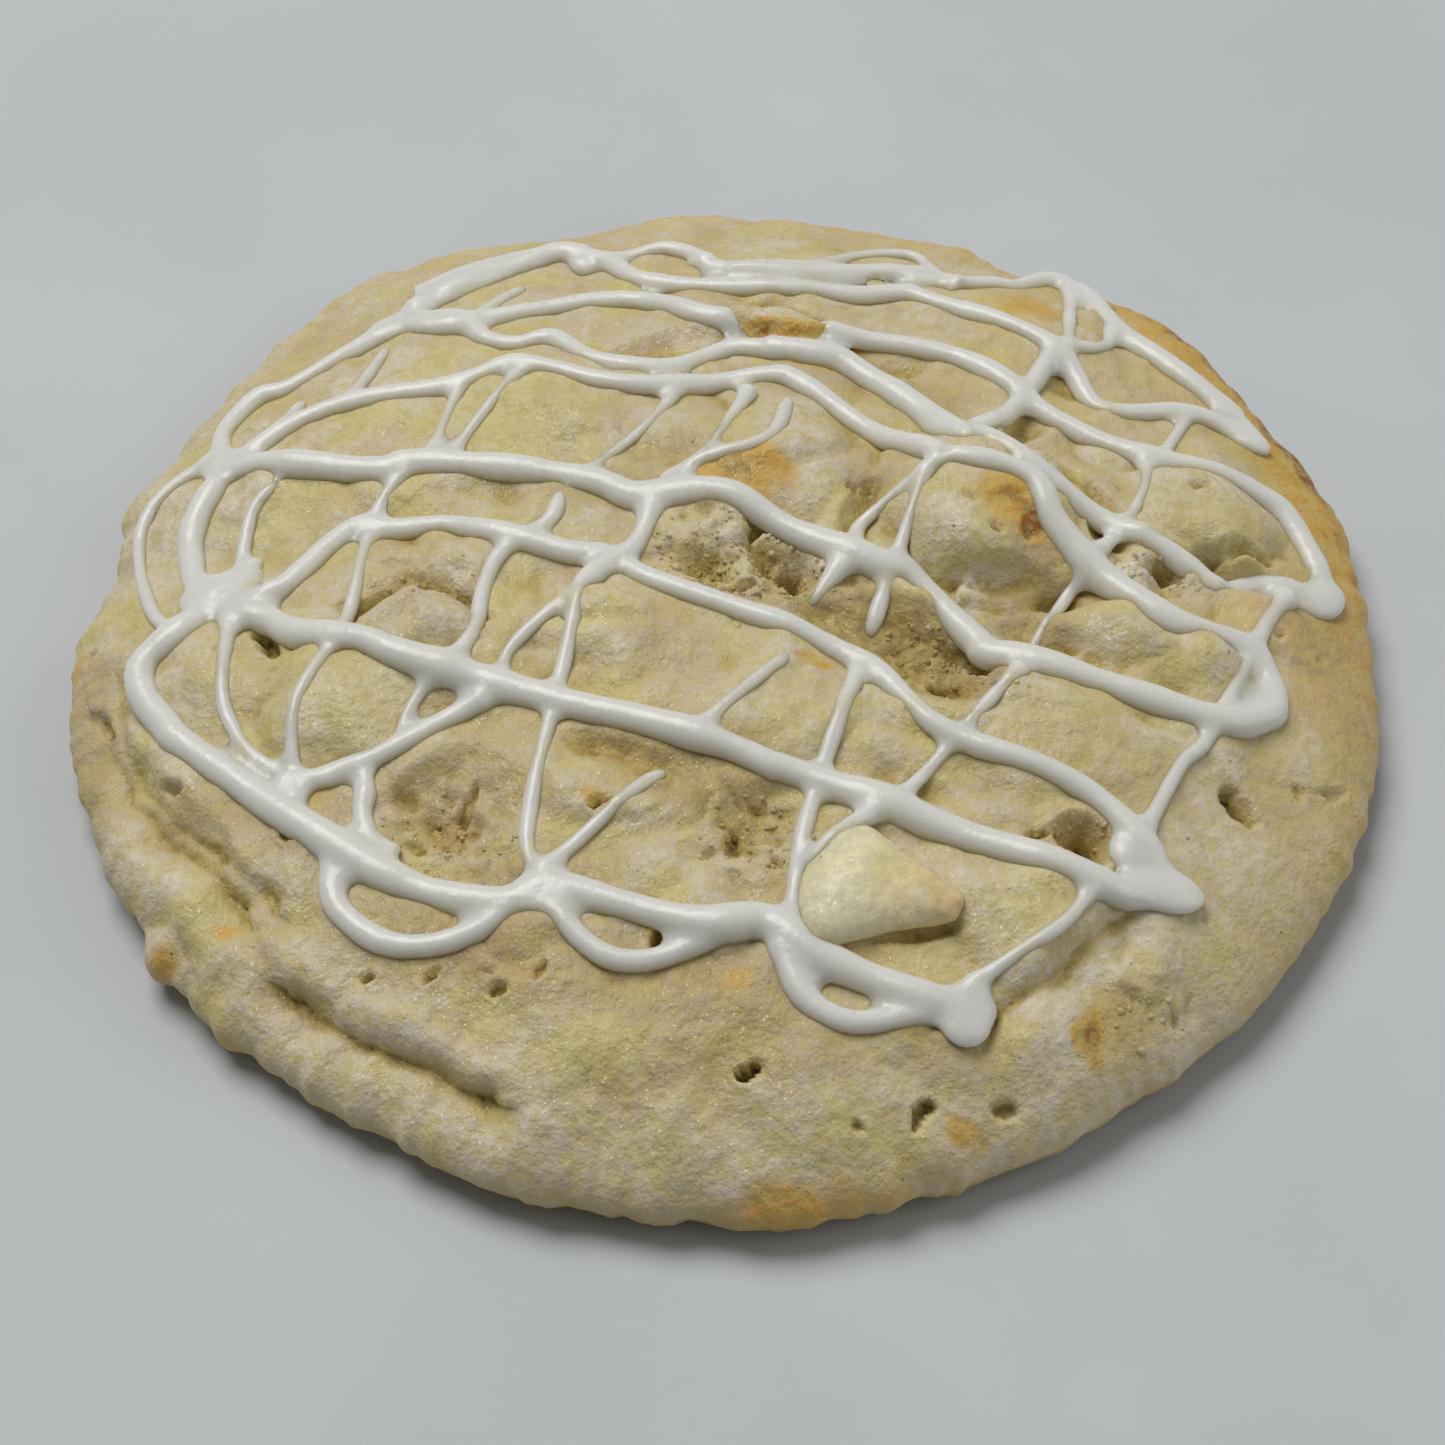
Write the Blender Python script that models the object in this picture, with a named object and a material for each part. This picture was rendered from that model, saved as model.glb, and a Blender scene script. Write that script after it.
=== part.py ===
"""Key lime pie cookie with a white drizzle, in metres, +Z up, resting on z = 0.

The dough is a low round dome with named lumps, hollows, creases and holes. The
drizzle is laid over it strand by strand and fused to it. The white chip sits in
a socket of its own in the dough. All sizes below are in millimetres.
"""

import math

import bmesh
import bpy
import numpy as np
from mathutils import Matrix, Vector, noise
from mathutils.bvhtree import BVHTree

MM = 0.001
DOUGH_RINGS = 28
COOKIE_TRIANGLES = 10800

RADIUS = 46.0
TOP_HEIGHT = 13.2
WIDEST_HEIGHT = 2.8
DOME_FLATNESS = 2.4
DOME_FALL = 0.62
FOOT_UNDERCUT = 3.2

# Moves the finished pieces so that the origin is under the middle of their box.
CENTRE_SHIFT = (0.34, -0.83, 0.0)

# Where the photo was taken from. Strand points were read on the plain dome along this eye's sight lines.
EYE = Vector((-0.3, -177.0, 201.2))

# Swells and dents of the outline: direction in degrees, half width in degrees, outward.
SWELLS = [
    (2, 14, -0.3), (20, 10, 0.7), (46, 10, 1.5), (60, 5, -0.7), (80, 75, 2.0), (106, 6, -0.7),
    (127, 12, 1.9), (145, 6, -0.1), (160, 4, 0.6), (169, 5, -1.2), (180, 4, 0.7), (207, 8, -0.3),
    (213.5, 2.0, 0.5), (238, 16, -0.9), (250, 5, 0.4), (258, 6, 0.4), (276, 5, 0.7), (308, 12, -0.7),
    (335, 20, -0.4),
]

# Lumps: x, y, half length, half width, turn in degrees, height, steepness of the flanks (lower is steeper).
LUMPS = [
    (17.5, 7.5, 7.0, 8.0, 15, 3.2, 0.8),
    (2, 11, 9, 6.5, -20, 1.6, 1.2),
    (3.8, 27.6, 4.6, 2.4, -8, 2.4, 0.8),
    (21, -12.5, 8, 5.5, -12, 1.4, 1.0),
    (27, -3.4, 4.0, 3.6, 0, 1.3, 0.8),
    (33, -5.8, 3.6, 3.4, 0, 1.0, 0.8),
    (34.5, 9.5, 5.6, 4.8, -10, 1.8, 0.7),
    (38, 0, 5.0, 3.4, -25, 0.9, 1.0),
    (-20.8, -3.6, 4.6, 3.2, -10, 1.4, 0.8),
    (-36.8, -5.5, 4.6, 5.6, 20, 0.9, 1.0),
    (-26, -9.5, 6.0, 5.5, 0, 0.9, 1.1),
    (20, -26.5, 6.0, 5.6, 40, 1.2, 0.8),
    (24, -34.5, 8.0, 5.0, 35, 0.9, 1.0),
    (-14, 17, 8.5, 8.5, 0, 1.0, 1.2),
    (-9, -3, 6.0, 4.5, -20, 0.9, 1.0),
    (-8.5, -18.2, 4.0, 3.2, 0, 0.9, 0.9),
    (2, -12.5, 5.0, 4.0, 0, 0.6, 1.0),
    (-1.5, 4.6, 4.0, 2.6, -15, 0.8, 0.7),
    (-31, 12, 7, 6, 0, 0.5, 1.3),
    (24, 27, 6, 5, -30, 0.7, 1.2),
]

# Hollows: the same values, with a depth.
HOLLOWS = [
    (14.5, -5.5, 6.5, 3.8, -35, 1.6, 1.0),
    (3.8, 0.8, 3.4, 2.2, -30, 1.6, 0.9),
    (-18, -20.5, 6.0, 5.5, 20, 1.1, 1.0),
    (1, -21.5, 4.0, 3.6, 0, 0.9, 1.0),
    (23.0, -21.4, 2.0, 1.7, 0, 2.0, 0.8),
    (35.5, 4.4, 4.4, 1.5, -4, 2.0, 0.8),
    (29.5, 2.6, 1.8, 1.3, -20, 1.4, 0.8),
    (-22, 7, 6, 3, 0, 0.4, 1.2),
    (25, 22, 3, 4, 0, 0.9, 1.0),
    (22, 17, 2.0, 2.2, 0, 1.0, 1.0),
]

# Folds and cracks in the dough: path, depth, half width.
CREASES = [
    ([(-44.5, -6), (-43, -10), (-40.8, -14.2), (-37.8, -18), (-34.8, -21.2), (-32.3, -24.2)], 0.9, 0.9),
    ([(-32.3, -24.2), (-30.5, -28), (-28.3, -31)], 0.35, 0.9),
    ([(-28.3, -31), (-25.6, -33.4), (-22.6, -35.3), (-19.2, -36.8), (-15.5, -39.3)], 1.2, 0.85),
    ([(-40.0, -12), (-37, -16), (-33.5, -19.3)], 0.45, 0.8),
    ([(16.5, -34.2), (20.5, -31.6), (25, -27.2)], 0.6, 0.7),
    ([(-25.2, -2.4), (-21.5, 0.2), (-18.2, -1.2), (-16.8, -3.6)], 0.7, 0.7),
    ([(12.6, 1.0), (15.5, -1.8), (19.5, -2.0), (24.5, 0.5)], 0.8, 0.8),
]

# Holes baked into the top: x, y, radius, depth.
HOLES = [
    (-32.2, -3.4, 1.1, 1.5), (34.4, -16.8, 1.2, 1.7), (41.6, -13.6, 0.9, 0.7), (38.9, -14.8, 0.8, 0.6),
    (1.1, -38.4, 0.9, 1.4), (12.1, -40.8, 0.9, 1.2), (17.7, -39.6, 0.9, 1.0), (2.0, 4.2, 0.9, 1.4),
    (4.6, -0.2, 1.0, 1.4), (-4.6, -29.4, 0.8, 0.8), (-43.6, -7.2, 0.7, 0.7), (28.6, -32.6, 0.8, 0.6),
]

# Main strands of the drizzle: width, then points across the plain dome.
STRANDS = [
    (2.3, [(-36.3, 15.8), (-25, 12.7), (-22.3, 13.1), (-10, 9.8), (-7, 8.3), (-5, 8), (0, 8.7), (5.1, 4.3),
           (10.5, 2), (12.8, 0.4), (17.4, -5.4), (18.8, -6.5), (32.2, -9.7), (36.7, -8.9), (37.6, -7.3),
           (37.2, -4.8), (36, -2.8), (30.6, -1.6), (23.6, 6.1), (22.3, 10.5), (20.7, 12.2), (15.6, 13.3)]),
    (1.7, [(15.6, 13.3), (14, 13.9), (5.7, 20.3), (2.6, 21.4), (-7, 20.6), (-14, 23.4), (-16.2, 23.5),
           (-19.6, 21.8), (-29.6, 20.9), (-34, 18), (-36.3, 15.8)]),
    (2.3, [(-36, 0.6), (-37, 2.8), (-37.9, 5.6), (-38.2, 10.1), (-36.3, 16.1)]),
    (1.9, [(-35.5, 0.2), (-32.9, 1.1), (-30.8, 2.2), (-28, 5.3), (-25.8, 6.8), (-23.5, 6), (-19.7, 6.2),
           (-16.5, 5.4), (-11.1, 2.9), (-8.2, 2.4), (-5.4, 0.2), (0, -2.3), (9.1, -7.7), (14, -13.2),
           (22.3, -16.8), (25.2, -18.9), (28, -22.1), (29, -24)]),
    (2.4, [(-35.5, 0.6), (-32, -1), (-29.6, -2.9), (-25.1, -3.7), (-22.3, -5.8), (-15.6, -9.4), (0, -15),
           (2.9, -17), (5.4, -18), (23.6, -24.3), (28.7, -25.1)]),
    (2.4, [(-36, 1), (-38.6, -0.6), (-40.8, -2.7), (-40.4, -5.3), (-38.5, -8.7), (-36.3, -11.6),
           (-24.5, -21.9), (-15.2, -26.6), (-11.7, -25.9), (-2.2, -28.7), (1.9, -28.7), (3.8, -29.5),
           (5.7, -31.1), (12.1, -33.6), (15.3, -34.2)]),
    (1.9, [(-25, 31.4), (-19.9, 30.1), (-18, 27.6), (-15.6, 26.4), (-13, 26.5), (-10.1, 24.2), (-7, 22.7),
           (-3.8, 22.4), (0, 24.2), (2.9, 24.8), (6.4, 24.2), (8.9, 22.6), (14.3, 17.5), (22.3, 12.5),
           (32.2, 4.2), (34.4, 3.2), (36.7, 3.3), (39.2, 4.5), (42, 4.4)]),
    (1.9, [(-24.9, 31.3), (-19.9, 29.7), (-7.9, 31.4), (-2.2, 29.5), (0, 28.2), (7.7, 27.9), (16.6, 24.8),
           (21.6, 21), (23.8, 18.6), (29.9, 15.5), (38.3, 13.8), (40.8, 11.9), (43, 5.6)]),
    (1.7, [(-11.8, 41), (-8.9, 37.6), (-6.3, 34.7), (0, 33), (8, 32.7), (12.8, 33.1), (15.3, 32.6),
           (24.5, 27.9), (27.6, 20.8), (33.2, 22.2), (36.2, 22.1), (38.9, 21.5)]),
    (1.5, [(-2, 36), (3.2, 37), (8, 36.4), (12.8, 36.5), (15.3, 35.9), (20.5, 37.4), (22.3, 38.6),
           (24.9, 38.8), (27.1, 37.4), (30.2, 33.7), (36, 28.2), (38.3, 25.1), (39.5, 22.9), (39.2, 20.3)]),
    (1.9, [(-24.9, 31.3), (-22.9, 35.6), (-19, 38.6), (-13, 40.6)]),
    (1.7, [(-36.5, 16.5), (-37.3, 20.1), (-36.7, 22.7), (-34.8, 25.1), (-32.1, 25.9), (-25, 31.4)]),
]

# Thin strands and the loops that sag below the front strand.
THREADS = [
    (1.1, [(-37.5, 17.5), (-40.4, 16.7), (-42.1, 14.6), (-42.5, 11.1), (-41.9, 6.8), (-40.4, 2.1), (-38.6, -0.3)]),
    (1.0, [(-32.5, 13.2), (-34, 9.9), (-34.4, 3.6)]),
    (1.1, [(-34.6, -0.6), (-34.7, -6.6), (-33.7, -10.4), (-32.1, -13), (-29.6, -15)]),
    (0.9, [(-25.3, 28.2), (-27.7, 21.6)]),
    (0.9, [(-31.2, 22.7), (-32.8, 19.6)]),
    (1.0, [(-22.9, 12.5), (-24.8, 7.1), (-26.4, -2.4), (-29.3, -8.2), (-29.6, -12.3), (-29.3, -15.2)]),
    (0.9, [(-19.4, 22), (-21, 13.8)]),
    (0.9, [(-15.2, 22.6), (-19.7, 13.4)]),
    (1.1, [(-11.7, 9), (-12.4, 6.1), (-14.9, 4.1), (-16.5, 1.5), (-17.5, -4.2), (-19.2, -7)]),
    (0.9, [(-3.4, 20.2), (-5.4, 16.5), (-9.9, 10.6)]),
    (1.4, [(-5.2, 7), (-6.3, 3.6), (-8.4, 1.4), (-10.5, -0.5)]),
    (1.0, [(-10.2, 0), (-10.5, -0.5), (-14, -4.8), (-15.2, -7), (-15.2, -8.8)]),
    (1.1, [(-10.2, 0), (-10.5, -3.1), (-13.3, -20.8), (-12.5, -25.6)]),
    (1.1, [(-12.5, -24.6), (-9, -21.6), (-4.1, -17.3)]),
    (1.3, [(-30.2, -15.6), (-25.1, -14.5), (-21.9, -13.3), (-16.4, -10.2)]),
    (0.8, [(-19.9, -7.6), (-21.6, -10.6), (-22.4, -13.4)]),
    (1.3, [(-24.5, -14.6), (-24.8, -18.1), (-24.2, -20), (-22.8, -22)]),
    (1.0, [(-2, -14), (4.2, -7)]),
    (1.1, [(8.9, -8.6), (5.4, -20.5), (4, -29)]),
    (1.1, [(5.2, -24.6), (10, -20.2)]),
    (1.0, [(20.2, -7.4), (11, -19.6)]),
    (0.9, [(25.2, 2.6), (20.8, -6)]),
    (1.0, [(15.3, 12.9), (9.6, 5.5), (9, 3.4)]),
    (1.1, [(14.2, 11.4), (9.7, -5.2)]),
    (1.0, [(7.9, 1.6), (5.7, -2.4)]),
    (0.9, [(1.6, 19.6), (-0.9, 14.3), (-4.3, 9.6)]),
    (1.1, [(4.5, 18.6), (3.5, 15.2), (1.6, 13.7), (-2.2, 11.8), (-3.3, 9.2)]),
    (1.5, [(24.5, 27.8), (20.6, 18.6), (17.4, 15.8)]),
    (1.0, [(26.5, 37.2), (25.7, 29.6)]),
    (1.0, [(29.6, 33.9), (28.6, 30.1), (26.6, 28.2)]),
    (0.9, [(34.4, 22.6), (31.6, 16)]),
    (0.9, [(30.4, 14.6), (29.6, 10.7), (26.3, 4.6)]),
    (1.1, [(39.5, 3.3), (38, 0.9), (32.8, -11.3), (30.6, -14.4), (27.4, -21)]),
    (1.0, [(24, -25), (21.7, -28.1), (15.5, -32.9)]),
    (0.9, [(-15.2, 34.8), (-20, 30)]),
    (1.7, [(-26.5, -21), (-26.4, -24.3), (-24.8, -26.6), (-22.3, -28.5), (-19.4, -29), (-16.5, -28.3),
           (-14.6, -26.8)]),
    (1.6, [(-11.9, -27), (-9.8, -29.9), (-7.6, -31.1), (-5, -31.3), (-0.2, -29.2)]),
    (1.7, [(3.3, -30.2), (4.8, -33.8), (7, -35.3), (9.6, -35.5), (13, -34.6)]),
]

# Pools where strands meet or end: x, y, half length, half width, turn in degrees.
POOLS = [
    (-35.2, 2.4, 3.4, 2.2, 15), (28.6, -24.6, 3.0, 1.9, -10), (15.4, -34.3, 2.1, 1.9, 0),
    (42.2, 4.4, 2.3, 1.8, 40), (36.9, -7.6, 1.8, 1.6, 0), (38.6, 21.6, 2.2, 1.3, -35),
    (-25.2, 31, 2.4, 1.5, 20), (-36.6, 16.4, 2.0, 1.5, 60), (-12.4, -26.6, 2.0, 1.3, 0),
]

CHIP_CENTRE = (9.5, -25.3)
CHIP_REACH_TO_TIP = 6.2
CHIP_REACH_BACK = 4.6
CHIP_HALF_WIDTH = 4.5
CHIP_HALF_HEIGHT = 2.8
CHIP_TAPER = 0.33
CHIP_LIFT = 0.1
CHIP_TURN = -17
CHIP_GAP = 0.3


def noise_at(points, size, shift):
    """Smooth noise, about -1 to 1, at each point, with blobs of the given size."""
    return np.array([noise.noise(Vector(p) / size + Vector((shift, shift, shift))) for p in points])


def outline(angle):
    """Radius of the cookie seen from above."""
    reach = np.full_like(angle, RADIUS)
    for at, half, out in SWELLS:
        away = (np.degrees(angle) - at + 180) % 360 - 180
        reach = reach + out * np.exp(-((away / half) ** 2))
    around = np.stack([np.cos(angle), np.sin(angle), 0 * angle], -1) * RADIUS
    return reach + 0.35 * noise_at(around, 2.6, 5.3) + 0.2 * noise_at(around, 1.2, 9.1)


def dome_height(share):
    return WIDEST_HEIGHT + (TOP_HEIGHT - WIDEST_HEIGHT) * (1 - share**DOME_FLATNESS) ** DOME_FALL


def dome(x, y):
    """Height of the plain dome over one point of the plan."""
    return float(dome_height(min(math.hypot(x, y) / RADIUS, 1.0)))


def mound(x, y, lump):
    cx, cy, length, width, turn, height, steepness = lump
    c, s = math.cos(math.radians(turn)), math.sin(math.radians(turn))
    u = ((x - cx) * c + (y - cy) * s) / length
    v = ((y - cy) * c - (x - cx) * s) / width
    return height * np.clip(1 - u * u - v * v, 0, 1) ** steepness


def gap_to_path(x, y, path):
    gap = np.full_like(x, 1e9)
    for (ax, ay), (bx, by) in zip(path[:-1], path[1:]):
        dx, dy = bx - ax, by - ay
        along = np.clip(((x - ax) * dx + (y - ay) * dy) / (dx * dx + dy * dy), 0, 1)
        gap = np.minimum(gap, np.hypot(x - ax - along * dx, y - ay - along * dy))
    return gap


def relief(x, y):
    """How far the baked surface stands off the plain dome."""
    flat = np.stack([x, y, 0 * x], -1)
    wx = x + 1.6 * noise_at(flat, 5.0, 11.7)
    wy = y + 1.6 * noise_at(flat, 5.0, 31.2)
    height = 0.9 * noise_at(flat, 13.0, 3.1) + 0.55 * noise_at(flat, 6.0, 7.7)
    for lump in LUMPS:
        height = height + mound(wx, wy, lump)
    for hollow in HOLLOWS:
        height = height - mound(wx, wy, hollow)
    for path, depth, half in CREASES:
        height = height - depth * np.exp(-((gap_to_path(wx, wy, path) / half) ** 2))
    for cx, cy, radius, depth in HOLES:
        away = np.hypot(x - cx, y - cy) / radius
        height = height - depth * np.clip(1.3 - away, 0, 1) ** 0.7
    return height


def dough_mesh(rings):
    """Rings of points from the centre over the dome, round the rim and under to the flat base."""
    shares = np.linspace(0, 1, 600)
    heights = dome_height(shares)
    run = np.concatenate([[0], np.cumsum(np.hypot(np.diff(shares) * RADIUS, np.diff(heights)))])
    share = np.interp(np.linspace(0, run[-1], rings + 1), run, shares)
    points, starts = [(0.0, 0.0)], [0]
    levels = [0.0]
    for k in range(1, rings + 1):
        starts.append(len(points))
        for j in range(6 * k):
            points.append((share[k], 2 * math.pi * (j + 0.5 * (k % 2)) / (6 * k)))
            levels.append(share[k])
    polar = np.array(points)
    level, angle = polar[:, 0], polar[:, 1]
    reach = outline(angle)
    x, y, z = level * reach * np.cos(angle), level * reach * np.sin(angle), dome_height(level)
    fall = (dome_height(np.clip(level - 1e-3, 0, 1)) - z) / (1e-3 * RADIUS)
    lean = np.stack([fall * np.cos(angle), fall * np.sin(angle), np.ones_like(fall)], -1)
    lean /= np.linalg.norm(lean, axis=1)[:, None]
    stand = relief(x, y) * (1 - 0.6 * level**10)
    placed = np.stack([x, y, z], -1) + lean * stand[:, None]
    faces = [(0, 1 + j, 1 + (j + 1) % 6) for j in range(6)]
    for k in range(1, rings):
        faces += ring_faces(starts[k], 6 * k, 0.5 * (k % 2), starts[k + 1], 6 * (k + 1), 0.5 * ((k + 1) % 2))
    last, count = starts[rings], 6 * rings
    rows = [placed]
    rim = placed[last:]
    for step in (30, 60, 90):
        bend = math.radians(step)
        inward = 1 - FOOT_UNDERCUT * (1 - math.cos(bend)) / np.hypot(rim[:, 0], rim[:, 1])
        row = rim * inward[:, None]
        row[:, 2] = rim[:, 2] * (1 - math.sin(bend))
        first = sum(len(r) for r in rows)
        faces += ring_faces(first - count, count, 0, first, count, 0)
        rows.append(row)
    total = sum(len(r) for r in rows)
    faces.append(tuple(range(total - 1, total - count - 1, -1)))
    return np.concatenate(rows), faces


def ring_faces(inner, inner_count, inner_turn, outer, outer_count, outer_turn):
    """Triangles between two rings of points, walking both round together."""
    faces, i, j = [], 0, 0
    while i < inner_count or j < outer_count:
        at_inner = (i + 1 + inner_turn) / inner_count
        at_outer = (j + 1 + outer_turn) / outer_count
        a, b = inner + i % inner_count, outer + j % outer_count
        if j < outer_count and (i >= inner_count or at_outer <= at_inner):
            faces.append((a, b, outer + (j + 1) % outer_count))
            j += 1
        else:
            faces.append((a, b, inner + (i + 1) % inner_count))
            i += 1
    return faces


def curve_through(points, step):
    """Evenly spaced plan points on a smooth curve through the given ones."""
    ends = [2 * Vector(points[0]) - Vector(points[1]), 2 * Vector(points[-1]) - Vector(points[-2])]
    knots = [ends[0], *map(Vector, points), ends[1]]
    fine = []
    for a, b, c, d in zip(knots, knots[1:], knots[2:], knots[3:]):
        for k in range(8):
            t = k / 8
            fine.append(0.5 * (2 * b + (c - a) * t + (2 * a - 5 * b + 4 * c - d) * t**2 + (3 * b - 3 * c + d - a) * t**3))
    fine.append(knots[-2])
    run = [0.0]
    for a, b in zip(fine, fine[1:]):
        run.append(run[-1] + (b - a).length)
    at = np.linspace(0, run[-1], max(3, round(run[-1] / step) + 1))
    return np.stack([np.interp(at, run, [p[k] for p in fine]) for k in (0, 1)], -1)


def seen_on_dough(surface, x, y):
    """The plan point where the sight line through a point of the plain dome meets the dough."""
    aim = Vector((x, y, dome(x, y))) - EYE
    hit = surface.ray_cast(EYE, aim.normalized())[0]
    return (hit.x, hit.y) if hit is not None and abs(hit.y - y) < 4 else (x, y)


def ground_at(surface, x, y):
    """Height and slope of the surface straight below a plan point."""
    hit, normal = surface.ray_cast(Vector((x, y, 60)), Vector((0, 0, -1)))[:2]
    if hit is None:
        return Vector((x, y, WIDEST_HEIGHT)), Vector((x, y, 0)).normalized()
    return hit, normal


def strand(name, surface, points, width, resolution, step, seed, collection):
    """A round strand laid over the surface: a curve with a bevel, its width swelling and thinning."""
    plan = curve_through([seen_on_dough(surface, *p) for p in points], step)
    ground = [ground_at(surface, x, y) for x, y in plan]
    heights = np.array([hit.z for hit, _ in ground])
    for _ in range(3):
        heights[1:-1] = (heights[:-2] + 2 * heights[1:-1] + heights[2:]) / 4
    curve = bpy.data.curves.new(name, "CURVE")
    curve.dimensions = "3D"
    curve.bevel_depth = 0.5 * width * MM
    curve.bevel_resolution = resolution
    curve.use_fill_caps = True
    spline = curve.splines.new("POLY")
    spline.points.add(len(plan) - 1)
    for k, point in enumerate(spline.points):
        middle = Vector((*plan[k], heights[k])) + ground[k][1] * (0.05 * width)
        point.co = (*(middle * MM), 1)
        to_end = min(k, len(plan) - 1 - k) * step / (0.5 * width)
        rounded = math.sqrt(max(0.0, 1 - (1 - min(to_end, 1)) ** 2))
        swell = 1 + 0.16 * noise.noise(middle / 3.2 + Vector((seed, 0, 0)))
        point.radius = swell * max(rounded, 0.35)
    guide = bpy.data.objects.new(name, curve)
    bpy.context.scene.collection.objects.link(guide)
    bpy.context.view_layer.update()
    mesh = bpy.data.meshes.new_from_object(guide.evaluated_get(bpy.context.evaluated_depsgraph_get()))
    bpy.data.objects.remove(guide, do_unlink=True)
    finish_mesh(mesh)
    collection.objects.link(bpy.data.objects.new(name, mesh))


def standing_frame(up, turn):
    """A turned frame whose third axis points up out of the dough."""
    ahead = Vector((math.cos(math.radians(turn)), math.sin(math.radians(turn)), 0))
    ahead = (ahead - ahead.dot(up) * up).normalized()
    return Matrix((ahead, up.cross(ahead), up)).transposed()


def pool(name, surface, x, y, length, width, turn, collection):
    """A flattened drop of icing lying on the dough."""
    hit, normal = ground_at(surface, *seen_on_dough(surface, x, y))
    work = bmesh.new()
    bmesh.ops.create_icosphere(work, subdivisions=2, radius=1.0)
    frame = standing_frame((normal + Vector((0, 0, 1))).normalized(), turn)
    for vert in work.verts:
        vert.co = (hit + frame @ (vert.co * Vector((length, width, 1.25)) + Vector((0, 0, 0.15)))) * MM
    collection.objects.link(bpy.data.objects.new(name, mesh_from(work, name)))


def chip(name, dough, grow, collection):
    """The white chip: round at the back, drawn out to a blunt tip, a little flattened."""
    hit, normal = ground_at(dough, *CHIP_CENTRE)
    work = bmesh.new()
    bmesh.ops.create_uvsphere(work, u_segments=20, v_segments=12, radius=1.0)
    frame = standing_frame((normal + Vector((0, 0, 2))).normalized(), CHIP_TURN)
    for vert in work.verts:
        along, across, high = vert.co.z, vert.co.x, vert.co.y
        reach = (CHIP_REACH_TO_TIP if along > 0 else CHIP_REACH_BACK) + grow
        taper = 1 - CHIP_TAPER * max(along, 0.0)
        sized = Vector((
            along * reach,
            across * taper * (CHIP_HALF_WIDTH + grow),
            high * taper * (CHIP_HALF_HEIGHT + grow) + CHIP_LIFT,
        ))
        vert.co = (hit + frame @ sized) * MM
    obj = bpy.data.objects.new(name, mesh_from(work, name))
    collection.objects.link(obj)
    return obj


def finish_mesh(mesh):
    """Closed, triangulated and facing out."""
    work = bmesh.new()
    work.from_mesh(mesh)
    bmesh.ops.remove_doubles(work, verts=work.verts, dist=0.001 * MM)
    bmesh.ops.recalc_face_normals(work, faces=work.faces)
    if work.calc_volume(signed=True) < 0:
        bmesh.ops.reverse_faces(work, faces=work.faces)
    bmesh.ops.triangulate(work, faces=work.faces)
    work.to_mesh(mesh)
    work.free()


def mesh_from(work, name):
    mesh = bpy.data.meshes.new(name)
    work.to_mesh(mesh)
    work.free()
    finish_mesh(mesh)
    return mesh


def surface_of(*objects):
    """The objects' faces in millimetres, for casting rays at."""
    points, faces = [], []
    for obj in objects:
        first = len(points)
        points += [v.co / MM for v in obj.data.vertices]
        faces += [[first + i for i in face.vertices] for face in obj.data.polygons]
    return BVHTree.FromPolygons(points, faces)


def material(name, colour, roughness):
    made = bpy.data.materials.new(name)
    made.use_nodes = True
    shader = made.node_tree.nodes["Principled BSDF"]
    shader.inputs["Base Color"].default_value = (*colour, 1)
    shader.inputs["Roughness"].default_value = roughness
    shader.inputs["Metallic"].default_value = 0.0
    return made


def settle(obj):
    """Replaces the object's mesh by what its modifiers make of it."""
    bpy.context.view_layer.update()
    graph = bpy.context.evaluated_depsgraph_get()
    mesh = bpy.data.meshes.new_from_object(obj.evaluated_get(graph))
    obj.modifiers.clear()
    obj.data = mesh


def keep_main_body(obj):
    """Drops loose scraps and points that fall together."""
    work = bmesh.new()
    work.from_mesh(obj.data)
    bmesh.ops.remove_doubles(work, verts=work.verts, dist=0.02 * MM)
    bmesh.ops.dissolve_degenerate(work, edges=work.edges, dist=0.01 * MM)
    bmesh.ops.triangulate(work, faces=work.faces)
    left, bodies = set(work.verts), []
    while left:
        body, edge = set(), [left.pop()]
        while edge:
            vert = edge.pop()
            body.add(vert)
            for link in vert.link_edges:
                other = link.other_vert(vert)
                if other in left:
                    left.remove(other)
                    edge.append(other)
        bodies.append(body)
    biggest = max(bodies, key=len)
    bmesh.ops.delete(work, geom=[v for v in work.verts if v not in biggest], context="VERTS")
    work.to_mesh(obj.data)
    work.free()


def boolean(obj, operation, other=None, collection=None):
    cut = obj.modifiers.new(operation.lower(), "BOOLEAN")
    cut.operation = operation
    cut.solver = "EXACT"
    if collection is not None:
        cut.operand_type = "COLLECTION"
        cut.collection = collection
    else:
        cut.object = other
    settle(obj)


def thin_out(obj, triangles):
    """Joins the smallest triangles until about the given number is left."""
    fewer = obj.modifiers.new("fewer triangles", "DECIMATE")
    fewer.ratio = triangles / len(obj.data.polygons)
    fewer.use_collapse_triangulate = True
    settle(obj)


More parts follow.
